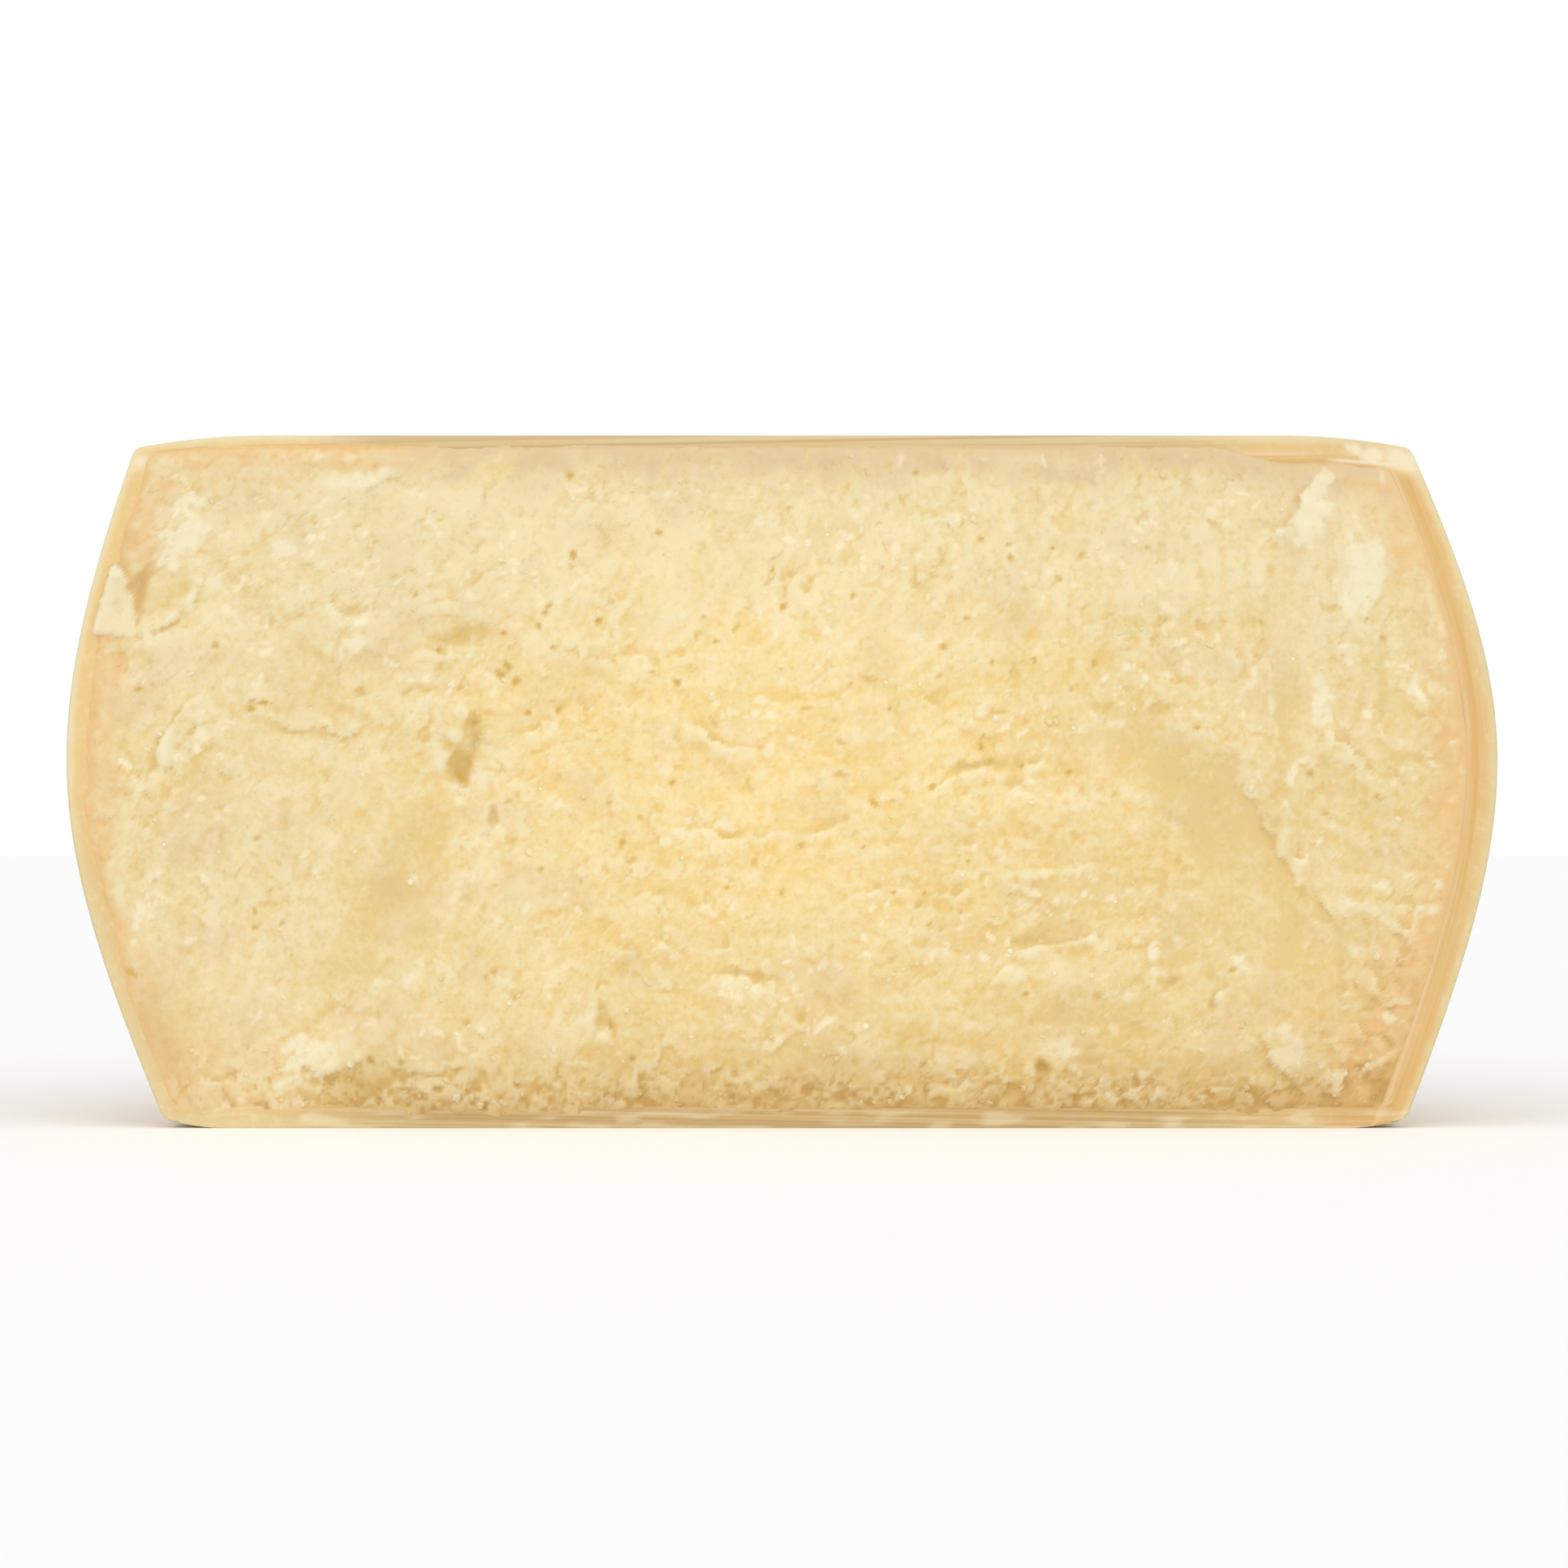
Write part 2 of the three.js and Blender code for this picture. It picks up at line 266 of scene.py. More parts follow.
def crowded(count, share):
    """Numbers from 0 to 1 that lie closer together at both ends: a share of a sine, and the rest even."""
    t = np.linspace(-1, 1, count)
    return (share * np.sin(t * np.pi / 2) + (1 - share) * t + 1) / 2


# The skin's rings run from inside the base, up the sides, to inside the upper flat. Each runs along the
# front from left to right and back round the heel, closer set at the ends of the cut and near the flats.
across = crowded(front_columns + 1, crowding["columns"])[:-1]
angles = np.linspace(0, np.pi, heel_columns + 1)[:-1]
corner = edge_round / wheel_height
climb = corner + (1 - 2 * corner) * crowded(side_rows, crowding["rows"])
low_turn = np.array(corner_steps) * corner
shares = np.concatenate([np.zeros(flat_rows), low_turn, climb, 1 - low_turn[::-1], np.ones(flat_rows)])
flat_scales = np.linspace(flat_rings["outermost"], flat_rings["innermost"], flat_rows)
scales = np.concatenate([flat_scales[::-1], np.ones(len(shares) - 2 * flat_rows), flat_scales])
share, scale = shares[:, None], scales[:, None]
level = share * wheel_height
cut_left, cut_right = -heel_radius(np.pi, level), heel_radius(0.0, level)
radius = heel_radius(angles, level)
x = np.hstack([cut_left + (cut_right - cut_left) * across, radius * np.cos(angles)]) * scale
y = np.hstack([np.zeros((len(shares), front_columns)), radius * np.sin(angles)])
flat_middle = 4 * belly_radius / (3 * np.pi)
y = flat_middle + (y - flat_middle) * scale
share = np.broadcast_to(share, x.shape)
z = settle(x, y, share)
rows, columns = x.shape
on_front = np.zeros(x.shape)
on_front[flat_rows:-flat_rows, :front_columns] = 1
rim_distance = heel_radius(np.arctan2(y, x), level) - np.hypot(x, y)

# The front sinks into the recess, and the heel swells and dips a little, as a hand feels it.
left, right, above, below = side_depths(x, share)
inside_band = np.minimum.reduce([left - band["left"], right - band["right"], above - top_band(x),
                                 below - band["base"]])
y = y + on_front * recess["depth"] * ease((inside_band - recess["inside"]) / recess["run"])
heel_angle = np.arctan2(y, x)
swell = sum(rise * hills(heel_angle * to_radian, z / high, seed) for rise, to_radian, high, seed in swells)
swell = swell * (1 - on_front) * ease(y / 12)
outward = np.stack([np.cos(heel_angle), np.sin(heel_angle), 0 * x], -1)
points = np.stack([x, y + axis_y, z], -1) + outward * swell[..., None]
poles = points[[0, -1]].mean(1)

# The cut shows a pale outermost skin, which turns golden and, on the right, tan, with a thin pink line where
# the paste begins. It is darkened by painted shade low down and over the right, and a painted highlight runs
# as a pale line along the lip under the upper flat on the right. Along both flats it is brown, its own
# colour deepened by painted shade, most along the base, with pale streaks at the foot. The brushes that
# clean the wheel leave strokes round the heel and in rings on the flats, and the edges are rubbed pale. Each
# white blotch is given by x, its distance from the upper flat, and its half-sizes.
white_blotches = [(-197.3, 6, 3.2, 2.6), (181.5, 5, 2.6, 2), (176, 3, 2, 1.4), (192, 5, 5, 4)]
nearest = np.minimum.reduce([left, right, above, below])
wobble = 0.5 * hills(x / 14, z / 14, 63) + 0.3 * hills(x / 3, z / 3, 64)
gold_width = 2.4 + 3.4 * ease((100 - level) / 45) * ease((-x - 60) / 90)
# Painted shade: the band is darkened low down and all over the right side.
shade_right = 0.9 * ease((x - 150) / 30) * (1 - 0.5 * ease((level - 140) / 40))
tan_right = ease((right - 2.8 + 1.2 * ease((np.abs(level - 115) - 35) / 30) - wobble) / 3.2)
tan_right = tan_right * ease((30 - right) / 12) * ease((above - 9) / 3)
tan_above = ease((above - 6.0) / 0.8) * ease((x - 136) / 10) * ease((186 - x) / 8) * ease((20 - above) / 8)
pink_right = 0.7 * bell((right - 9.2 - 0.5 * wobble) / 0.8) * ease((above - 8) / 3)
pink_above = bell((above - 5.5 - 0.3 * wobble) / 0.5) * ease((x - 122) / 14) * ease((168 - x) / 14)
blotted = np.max([ease(1.5 - np.hypot((x - px) / long, (above - down) / high) + 1.3 * wobble)
                  for px, down, long, high in white_blotches], axis=0)
# A painted highlight: a pale line along the lip of the cut under the upper flat, towards the right.
painted_highlight_line = 0.9 * bell((above - 7.4 - 0.2 * wobble) / 0.5) * ease((x - 166) / 6) * ease((198 - x) / 4)
pale_foot = 0.35 * ease(2.4 * hills(x / 8, level / 1.6, 118) - 0.4) * ease((6 - below) / 2)
ends = ease(np.minimum(left, right) / 12)
edge_distance = np.hypot(np.minimum(above, below), rim_distance)
rind_traits = {
    "nearest": nearest,
    "gold": ease((nearest - 0.8 - wobble) / gold_width),
    "band_shade": np.maximum(ease((125 - level) / 60), shade_right),
    "tan": np.maximum(tan_right, tan_above),
    "pink": np.maximum(pink_right, pink_above),
    # Pale: white blotches, pale streaks at the foot, and the painted highlight line.
    "pale": np.maximum(0.8 * blotted, painted_highlight_line) + pale_foot,
    # Along the flats the brown of the rind is deepened as painted shade, most of all along the base.
    "top": ease((x + 150) / 30) * (1 - 0.8 * ease((x - 110) / 45)) * ends * ease((20 - above) / 8),
    "base": ease((x + 165) / 60) * (1 - 0.6 * ease((x - 110) / 50)) * ends * ease((20 - below) / 8),
    "stroke": level + np.sign(level - belly_height) * rim_distance,
    "rubbed": bell(edge_distance / 9),
}


def stroked(tree, place, across, stroke):
    """Noise in strokes of a length and a width in millimetres: fine across them, by a trait that counts
    millimetres, and slow along them."""
    length, width = stroke["length"], stroke["width"]
    fine = add(tree, "ShaderNodeCombineXYZ", {"X": across})
    slow = add(tree, "ShaderNodeVectorMath", {"Vector": place, "Scale": width * 1000 / length},
               operation="SCALE")
    both = add(tree, "ShaderNodeVectorMath", {0: fine, 1: slow}, operation="ADD")
    return add(tree, "ShaderNodeTexNoise", {"Vector": both, "Scale": 1 / width, "Detail": 3.0})


# The heel and the flats: hard dried cheese, brushed and wiped with oil, which gives a satin shine over a
# dull golden skin with darker brush strokes, floury patches and small stained pits. Sizes are millimetres.
brush_stroke = {"length": 32.0, "width": 1.8}
rind_patterns = {"cloud": 45.0, "blot": 6.0, "pit": 2.2}
oiled_rind, tree, shader = new_material("oiled_cheese_rind")
place, trait = from_mesh(tree, ("stroke", "rubbed"))
strokes = stroked(tree, place, trait["stroke"], brush_stroke)
clouds, blots, pits = (
    add(tree, "ShaderNodeTexNoise", {"Vector": place, "Scale": 1000 / rind_patterns[name], "Detail": detail,
                                     "Roughness": roughness})
    for name, detail, roughness in (("cloud", 5.0, 0.6), ("blot", 3.0, 0.5), ("pit", 2.0, 0.5))
)
tone = rind_colours["straw"]
for value, low, high, most, name in (
    (clouds, 0.4, 0.75, 0.5, "flour"),
    (strokes, 0.42, 0.78, 0.34, "honey"),
    (blots, 0.5, 0.75, 0.5, "honey"),
    (trait["rubbed"], 0.0, 1.0, 0.5, "flour"),
    (pits, 0.66, 0.74, 0.6, "stain"),
):
    amount = add(tree, "ShaderNodeMapRange", {"Value": value, "From Min": low, "From Max": high,
                                              "To Max": most})
    tone = add(tree, "ShaderNodeMix", {"Factor": amount, "A": tone, "B": rind_colours[name]},
               data_type="RGBA")
scuffed = add(tree, "ShaderNodeBump", {"Height": strokes, "Strength": 0.25, "Distance": 0.0006})
pitted = add(tree, "ShaderNodeBump", {"Height": pits, "Normal": scuffed, "Strength": 0.3,
                                      "Distance": 0.0006}, invert=True)
feed(tree, shader, {"Base Color": tone, "Normal": pitted, "Roughness": 0.4, "IOR": 1.46})

# The knife's cut through the rind: the same hard cheese, waxy and smooth, so that it shines softly, with
# fine score lines along the cut and floury blotches where it has dried. Sizes are millimetres.
score_line = {"length": 45.0, "width": 0.9}
dry_blotch = 4.0
cut_rind, tree, shader = new_material("knife_cut_rind")
place, trait = from_mesh(tree, ("nearest", "gold", "band_shade", "tan", "pink", "pale", "top", "base"))
scores = stroked(tree, place, trait["nearest"], score_line)
blotches = add(tree, "ShaderNodeTexNoise", {"Vector": place, "Scale": 1000 / dry_blotch, "Detail": 4.0,
                                            "Roughness": 0.7})
patchy = add(tree, "ShaderNodeMapRange", {"Value": blotches, "From Min": 0.5, "From Max": 0.75,
                                          "To Max": 0.5})
scored = add(tree, "ShaderNodeMapRange", {"Value": scores, "From Min": 0.4, "From Max": 0.6, "To Min": 0.45})
fresh, band_shade = (
    add(tree, "ShaderNodeMix", {"Factor": trait["gold"], "A": cut_colours[outer], "B": cut_colours[inner]},
        data_type="RGBA")
    for outer, inner in (("outer", "gold"), ("shaded_outer", "shaded_gold"))
)
# Painted shade: low down and on the right the band takes its shaded colours.
tone = add(tree, "ShaderNodeMix", {"Factor": trait["band_shade"], "A": fresh, "B": band_shade}, data_type="RGBA")
coats = {"floury": patchy}
for name in ("tan", "top", "base"):
    coats[name] = add(tree, "ShaderNodeMath", {0: trait[name], 1: scored}, operation="MULTIPLY")
coats |= {name: trait[name] for name in ("pink", "pale")}
for name, amount in coats.items():
    tone = add(tree, "ShaderNodeMix", {"Factor": amount, "A": tone, "B": cut_colours[name]},
               data_type="RGBA")
scratched = add(tree, "ShaderNodeBump", {"Height": scores, "Strength": 0.25, "Distance": 0.0005})
feed(tree, shader, {"Base Color": tone, "Normal": scratched, "Roughness": 0.5, "IOR": 1.46})

quads, fans = closed_grid(rows, columns)
rind_traits = {name: np.append(values, [0, 0]) for name, values in rind_traits.items()}
rind = make_piece("rind", np.concatenate([points.reshape(-1, 3), poles]), quads + fans, rind_traits,
                  [oiled_rind, cut_rind])
front_quads = (on_front[:-1] * on_front[1:]).astype(int)
rind.data.polygons.foreach_set("material_index", np.append(front_quads, np.zeros(len(fans), int)))


# The paste is the inside of the wheel, dry and crumbly after long ageing. It was not cut but split open with
# wedges, so its face is a break: crags, ledges and hollows, with smooth scoops where it parted along a
# layer. It fills the recess and stands a little proud of the knife-cut band.
paste_columns, paste_rows = 446, 214
paste_back = 12.0
step_out = 1.1
step_run = 5.0
hole_depth = 0.35
overlap = {"left": 1.8, "right": 0.6, "top": 0.9, "base": 1.6}  # of the paste over the band's inner edge
base_shoulder = {"depth": 1.8, "width": 20.0}
hummocks = {"size": 34.0, "rise": 1.0}
crumble = {"size": 12.0, "rise": 0.4}
tooth = {"corners": [(-207.0, 176.2), (-213.4, 152.9), (-195.4, 150.6), (-201.8, 175.4)],
         "level": 1.6, "edge": 1.6, "reach": 3.4, "middle": 160.0, "half_height": 13.0}
paste_colours = {
    "straw": "#EDCE84",
    "cream": "#F1DFAE",
    "outer_straw": "#DFC484",
    "outer_cream": "#E6D7AC",
    "haze": "#EBE1BF",
    "fleck": "#F3E9CB",
    "blush": "#E3BC82",
    "yolk": "#D0A538",
    "brown_and_shade": "#D7BC93",
    "amber_and_shade": "#C29C58",
}

# Each lump or hollow: middle x and z, half-sizes along and across, turn in degrees, rise.
lumps = [
    (-4, 104, 118, 62, 0, 2.4),
    (80, 98, 34, 11, -2, 1.5),
    (84, 44, 26, 10, 4, 1.5),
    (-23, 142, 13, 12, 0, 0.8),
    (-104, 122, 13, 5, 84, 1.8),
    (-150, 104, 40, 20, 12, 1.5),
    (-140, 23, 14, 8, 20, 1.4),
    (-193, 150.5, 8, 5, -20, 1.7),
    (-68, 27, 18, 10, -20, 1.0),
    (163, 189, 11, 5, 70, 0.8),
    (157, 24, 10, 6, 60, 1.0),
    (-94.5, 121, 10, 4, 70, -1.3),
    (-98.5, 111, 4.6, 3.2, 70, -0.9),
    (-99, 110, 5, 3, 80, -2.0),
    (-100, 151, 13, 6.5, 4, -1.6),
    (-103, 142, 6, 4, -40, -0.7),
    (-195.5, 170, 9, 2.8, 78, -1.1),
    (-131, 12, 10, 5, 4, -1.5),
    (-104, 11, 12, 4, -6, 1.2),
    (44, 28, 14, 4, -3, -1.0),
    (12, 36, 10, 6, 20, -0.8),
    (130, 97, 52, 17, -49, -2.7),
    (-118, 76, 44, 17, 58, -2.7),
    (-148, 150, 36, 11, -46, -1.0),
    (-110, 135, 8, 2.2, 8, -0.7),
    (-88.5, 96, 4.5, 2, 88, -1.3),
    (-54, 34, 5, 3, -50, -0.9),
    (74, 57, 5, 2.6, 20, -1.0),
    (60, 111, 13, 2, 3, -0.9),
    (-132, 159, 7, 2.4, 0, -0.35),
    (80, 19, 3, 3, 0, -2.0),
    (150.5, 172.5, 3.0, 1.4, 50, -0.4),
    (118, 45, 4, 2.4, 20, -1.2),
    (-8, 46, 7, 1.8, -4, -1.0),
    (184, 12, 7, 5, 60, -1.8),
]

# Each ledge: rise, the distance over which it eases off behind, and its path. The paste to the left of the
# path, as it is walked, stands higher, and the foot of the ledge is a narrow groove.
ledges = [
    (0.95, 10, [(34, 107), (31, 104), (28, 100), (22, 96), (14, 92), (5, 91), (-12, 90), (-20, 91),
                (-27, 92), (-33, 94), (-43, 95)]),
    (1.15, 13, [(96, 107), (84, 111), (74, 112), (66, 111), (58, 110), (52, 108), (46, 105), (40, 99)]),
    (1.0, 9, [(-7, 118), (-14, 117), (-20, 119), (-25, 123), (-29, 127), (-33, 134)]),
    (0.8, 8, [(-38, 140), (-42, 145), (-47, 147)]),
    (0.9, 8, [(-30, 148), (-32, 145), (-36, 142)]),
    (1.1, 9, [(21, 167), (19, 172), (14, 173.5), (8, 172), (3, 167), (-1, 159)]),
    (0.9, 7, [(60, 76), (53, 72), (44, 72), (35, 73), (24, 72), (10, 66)]),
    (1.0, 9, [(-1, 39), (-3, 45), (-8, 47), (-14, 46.5), (-22, 48)]),
    (0.7, 6, [(-44, 54), (-50, 56), (-58, 60)]),
    (0.9, 6, [(-27, 50), (-31, 55), (-38, 59)]),
    (0.6, 5, [(-28, 61), (-33, 62.5), (-38, 61)]),
    (1.15, 12, [(101, 57), (92, 59), (86, 57.5), (80, 56), (75, 54), (71, 51), (66, 47), (60, 42)]),
    (0.8, 7, [(108, 80), (99, 80.5), (88, 80.5), (79, 80), (72, 79.5), (62, 77)]),
    (0.6, 5, [(64, 95), (58, 95), (48, 95.5)]),
    (0.6, 5, [(82, 90), (76, 89.5), (70, 90)]),
    (0.9, 8, [(129, 178), (128, 171), (124, 168), (118, 166)]),
    (0.8, 8, [(141, 136), (142, 142), (139, 147), (134, 150), (127, 149.5), (118, 149)]),
    (0.5, 6, [(131, 137), (124, 136.5), (112, 138)]),
    (1.5, 8, [(163, 203), (161, 196), (159, 190), (155, 184), (153, 180)]),
    (1.2, 9, [(182, 107), (178, 114), (174, 118.5), (171, 121), (167, 127)]),
    (0.85, 16, [(126, 124), (132, 116), (137, 111), (142, 105), (146, 99), (149, 91), (153, 84), (158, 76),
                (164, 71), (169, 66), (173, 60), (178, 53)]),
    (0.9, 8, [(120, 62), (114.5, 57), (112.5, 51), (115, 43)]),
    (0.6, 7, [(119, 82), (117, 72), (117, 62)]),
    (0.8, 6, [(202, 180), (198, 170), (197.5, 158), (198, 148), (199, 138)]),
    (0.9, 5, [(192.5, 140), (192.5, 134), (195, 129), (199, 128)]),
    (0.6, 6, [(191, 54), (185, 54.5), (179, 57)]),
    (1.0, 12, [(-103, 106), (-101, 112), (-98.5, 119), (-97.5, 126), (-98, 136)]),
    (0.9, 5, [(-92, 108), (-98, 105.5), (-105, 107)]),
    (1.2, 8, [(-116, 154), (-110, 158), (-100, 158.5), (-92, 157), (-87, 154)]),
    (0.8, 8, [(-100, 144), (-108, 146.5), (-111, 150), (-114, 157)]),
    (1.0, 12, [(-158, 127), (-150, 122.5), (-143, 123), (-138, 121.5), (-131, 121.5), (-127, 124),
               (-123, 130)]),
    (0.8, 5, [(-169, 129), (-163, 131.5), (-157, 131)]),
    (1.2, 14, [(-179, 135), (-183, 128), (-188, 124), (-191, 117), (-193, 111), (-197, 107), (-203, 102)]),
    (1.3, 12, [(-199, 156), (-190, 154.5), (-185, 156.5), (-181, 160.5), (-180, 165), (-180, 171)]),
    (0.9, 9, [(-140, 162), (-145, 166), (-150, 167.5), (-157, 164)]),
    (0.8, 7, [(-139, 144.5), (-130, 146), (-121, 145.5)]),
    (0.9, 6, [(-126, 160), (-131, 156.5), (-137, 158), (-142, 163)]),
    (1.2, 7, [(-155, 184), (-147, 189), (-140, 190), (-135, 193), (-129, 196), (-124, 199), (-117, 201.5),
              (-106, 203)]),
    (0.8, 5, [(-138, 199), (-134, 203), (-131, 207)]),
    (0.5, 6, [(-130, 166), (-118, 166.5), (-106, 167)]),
    (0.9, 6, [(-68, 126), (-73, 125), (-77, 122), (-85, 122)]),
    (0.8, 5, [(-90, 127.5), (-96, 127)]),
    (0.9, 7, [(-85, 78), (-90, 82), (-97, 80.5), (-104, 82)]),
    (0.7, 6, [(-90, 91), (-97, 90), (-105, 91)]),
    (0.8, 5, [(-84, 63), (-88, 65.5), (-92, 65)]),
    (1.2, 10, [(-45, 11), (-45.5, 18), (-47, 22), (-50, 27), (-53, 31), (-56, 36), (-59, 40)]),
    (1.5, 8, [(-153, 11), (-145, 12), (-140, 15), (-134, 18), (-129, 20.5), (-124, 20.5), (-118, 17.5),
              (-111, 16), (-96, 18), (-86, 16)]),
    (1.5, 8, [(145, 31), (148, 25), (150, 20), (154, 16.5), (158, 13), (162, 8)]),
    (1.2, 6, [(-6, 24), (0, 26), (4, 28), (9, 31)]),
    (0.7, 5, [(-12, 28), (-6, 28.5), (0, 30)]),
    (0.7, 5, [(84, 32), (76, 33), (70, 34)]),
    (1.0, 6, [(134, 42), (133, 36), (128, 33)]),
    (0.9, 7, [(204, 122), (199, 128), (195, 127)]),
]
ledge_run = 3.0
ledge_ends = 0.16
ledge_foot = {"depth": 0.1, "width": 1.4}

# Small holes that gas left in the curd: x, z and radius.
eyes = [
    (-86.5, 140, 1.5), (-84.5, 142.2, 1.2), (-82.5, 136.8, 1.5), (-85, 152.5, 1.0), (-72, 158.5, 1.1),
    (-72, 161, 1.0), (-75, 154, 1.1), (-70, 148, 1.2), (-98, 134.8, 0.9), (-94, 124, 1.1),
    (-56, 156.5, 1.1), (-78.5, 127.8, 1.1), (-68.5, 128.5, 1.0), (-106, 147, 1.1), (-161.5, 89, 1.1),
    (-162, 66.5, 0.8), (-162, 62, 0.9), (-153.5, 63.5, 1.0), (-191, 58.5, 0.9), (-198, 135.5, 1.3),
    (-200, 47.5, 1.5), (-112, 164, 0.9), (-159.5, 131, 1.3), (-162.5, 128.5, 1.1), (-88.5, 48.5, 1.1),
    (-91, 46, 0.9), (-57, 44, 1.0), (-74, 79.8, 1.0), (-49, 87.5, 1.0), (-45, 82.3, 0.8), (-43, 95.2, 0.9),
    (-53, 100, 0.8), (-33, 106.5, 1.0), (-8, 82, 0.9), (-17, 74, 0.9), (0.5, 72.3, 0.8), (-0.5, 60, 0.8),
    (-52, 32, 1.0), (-46, 21.5, 1.2), (-32, 137, 1.1), (-40, 140, 0.8), (-38, 183, 1.1), (-3, 171.3, 0.9),
    (0.3, 160.5, 1.1), (-64, 176, 1.5), (-65, 201, 1.4), (-65, 172.6, 0.9), (-20, 150, 0.9), (22, 164, 0.9),
    (28.3, 100.3, 1.0), (46, 105.3, 1.0), (73.5, 110.8, 0.9), (88.5, 109, 1.0), (61, 117, 0.9),
    (33, 129, 0.9), (50, 148, 1.2), (57, 156.5, 1.0), (48, 139, 0.9), (60.5, 181, 1.2), (70, 175, 1.2),
    (70, 179.5, 0.8), (41, 201, 0.9), (96, 142.7, 1.0), (89, 135.3, 0.8), (77, 144.3, 0.9), (65, 143, 0.9),
    (92, 176, 1.1), (112, 178, 1.0), (83, 178.5, 0.8), (85, 169, 1.0), (102, 102.8, 0.9), (24, 86, 0.7),
    (57, 82.2, 0.8), (55, 66, 0.8), (45, 62.7, 0.8), (34, 72.5, 0.8), (44, 72, 1.1), (53, 72.3, 0.9),
    (74.5, 40.7, 0.9), (97, 41, 1.1), (80, 19, 2.2), (122, 82, 0.8), (138, 48.8, 1.0), (162.5, 109, 1.1),
    (167, 96.5, 1.0), (163.5, 87.5, 0.9), (127.5, 123.5, 0.8), (183, 102, 0.9), (190.5, 21, 1.6),
    (186, 13.5, 1.5), (182, 8.5, 1.6), (148, 92.2, 0.8), (43, 19.8, 1.3), (7, 12, 1.6), (48, 8.7, 1.6),
    (-8, 8.5, 1.5), (-15, 10, 1.3), (-43, 8.3, 1.3), (-117, 20.5, 1.3), (-126.5, 20.5, 1.3),
    (-96.5, 32.5, 0.9), (-174, 149, 1.1), (-98.8, 108.4, 1.5),
]


def dome(x, z, lump):
    """A smooth bell on an ellipse: exp(-1.4 r2), with r = 1 at the half-sizes."""
    middle_x, middle_z, long, wide, turn, rise = lump[:6]
    c, s = np.cos(np.radians(turn)), np.sin(np.radians(turn))
    along = (x - middle_x) * c + (z - middle_z) * s
    across = (z - middle_z) * c - (x - middle_x) * s
    return rise * np.exp(-1.4 * ((along / long) ** 2 + (across / wide) ** 2))


def domes(x, z, lumps):
    """The smooth bell of each of a list of lumps."""
    return [dome(x, z, lump) for lump in lumps]


def smooth_path(path):
    """A Catmull-Rom curve through the path's points, three steps to a point."""
    p = np.array(path, float)
    place = np.linspace(0, len(p) - 1, len(p) * 3 + 1)
    k = np.minimum(place.astype(int), len(p) - 2)
    t = (place - k)[:, None]
    p0, p1, p2, p3 = p[np.maximum(k - 1, 0)], p[k], p[k + 1], p[np.minimum(k + 2, len(p) - 1)]
    v0, v1 = (p2 - p0) / 2, (p3 - p1) / 2
    return (2 * p1 - 2 * p2 + v0 + v1) * t**3 + (3 * p2 - 3 * p1 - 2 * v0 - v1) * t**2 + v0 * t + p1


def ledge_at(x, z, ledge):
    """A step that rises to the left of a path and eases off behind it as exp(-distance / easing), with a
    groove in the shape of a bell along its foot. It dies out towards both ends of the path."""
    rise, easing, path = ledge
    curve = smooth_path(path)
    low, high = curve.min(0) - 4 * easing, curve.max(0) + 4 * easing
    near = (x > low[0]) & (x < high[0]) & (z > low[1]) & (z < high[1])
    px, pz = x[near], z[near]
    nearest, side, place = np.full(px.shape, np.inf), np.zeros(px.shape), np.zeros(px.shape)
    for k, ((ax, az), (bx, bz)) in enumerate(zip(curve[:-1], curve[1:])):
        dx, dz = bx - ax, bz - az
        t = np.clip(((px - ax) * dx + (pz - az) * dz) / (dx * dx + dz * dz), 0, 1)
        distance = np.hypot(px - ax - t * dx, pz - az - t * dz)
        closer = distance < nearest
        nearest = np.where(closer, distance, nearest)
        side = np.where(closer, np.sign(dx * (pz - az) - dz * (px - ax)), side)
        place = np.where(closer, (k + t) / (len(curve) - 1), place)
    behind = np.where(side > 0, np.exp(-nearest / easing), 0) * ease(side * nearest / ledge_run + 0.5)
    foot = ledge_foot["depth"] * bell(side * nearest / ledge_foot["width"] + 0.8)
    height = np.zeros(x.shape)
    broken = np.clip(0.55 + 0.6 * hills(px / 4.5, pz / 4.5, 49), 0.05, 1)
    height[near] = rise * broken * ease(np.minimum(place, 1 - place) / ledge_ends) * (behind - foot)
    return height


def warped(x, z, reach, size, seed):
    """The point moved about by smooth noise, so that what is drawn there gets a crumbly edge."""
    return x + reach * hills(x / size, z / size, seed), z + reach * hills(x / size, z / size, seed + 1)


def broad_relief(x, z):
    """The break as far as the solid has it: a lean at the base, hummocks, crumbled knobs, lumps, ledges."""
    height = step_out - base_shoulder["depth"] * bell(z / base_shoulder["width"])
    for seed, knobs in enumerate((hummocks, crumble), 1):
        height = height + knobs["rise"] * hills(x / knobs["size"], z / knobs["size"], seed)
    torn_x, torn_z = warped(*warped(x, z, 1.4, 8, 45), 1.0, 2.8, 47)
    height = height + sum(domes(torn_x, torn_z, lumps))
    return height + sum(ledge_at(torn_x, torn_z, ledge) for ledge in ledges)


# Where the paste parted smoothly: middle, half-sizes, turn and how smooth, from 0 to 1.
scoops = [
    (118, 112, 24, 14, -30, 1),
    (132, 100, 30, 12, -50, 1),
    (142, 74, 40, 17, -56, 0.9),
    (150, 58, 26, 16, -40, 0.6),
    (126, 54, 10, 7, 20, 0.8),
    (-112, 84, 26, 12, 62, 1),
    (-122, 62, 26, 17, 45, 1),
    (-136, 50, 22, 8, 40, 0.8),
    (-146, 140, 18, 8, -52, 0.7),
    (-134, 128, 8, 5, -10, 0.9),
    (-188, 163, 8, 6, 20, 0.9),
    (-122, 190, 14, 8, 30, 0.7),
    (155, 158, 30, 7, 88, 0.9),
    (156, 128, 22, 6, 84, 0.9),
    (168, 108, 7, 6, 0, 0.7),
    (184, 190, 20, 7, -64, 0.7),
    (-104, 122, 12, 4, 84, 0.8),
    (-55, 24, 11, 6, -50, 0.9),
    (-92, 100, 12, 7, 40, 0.6),
]

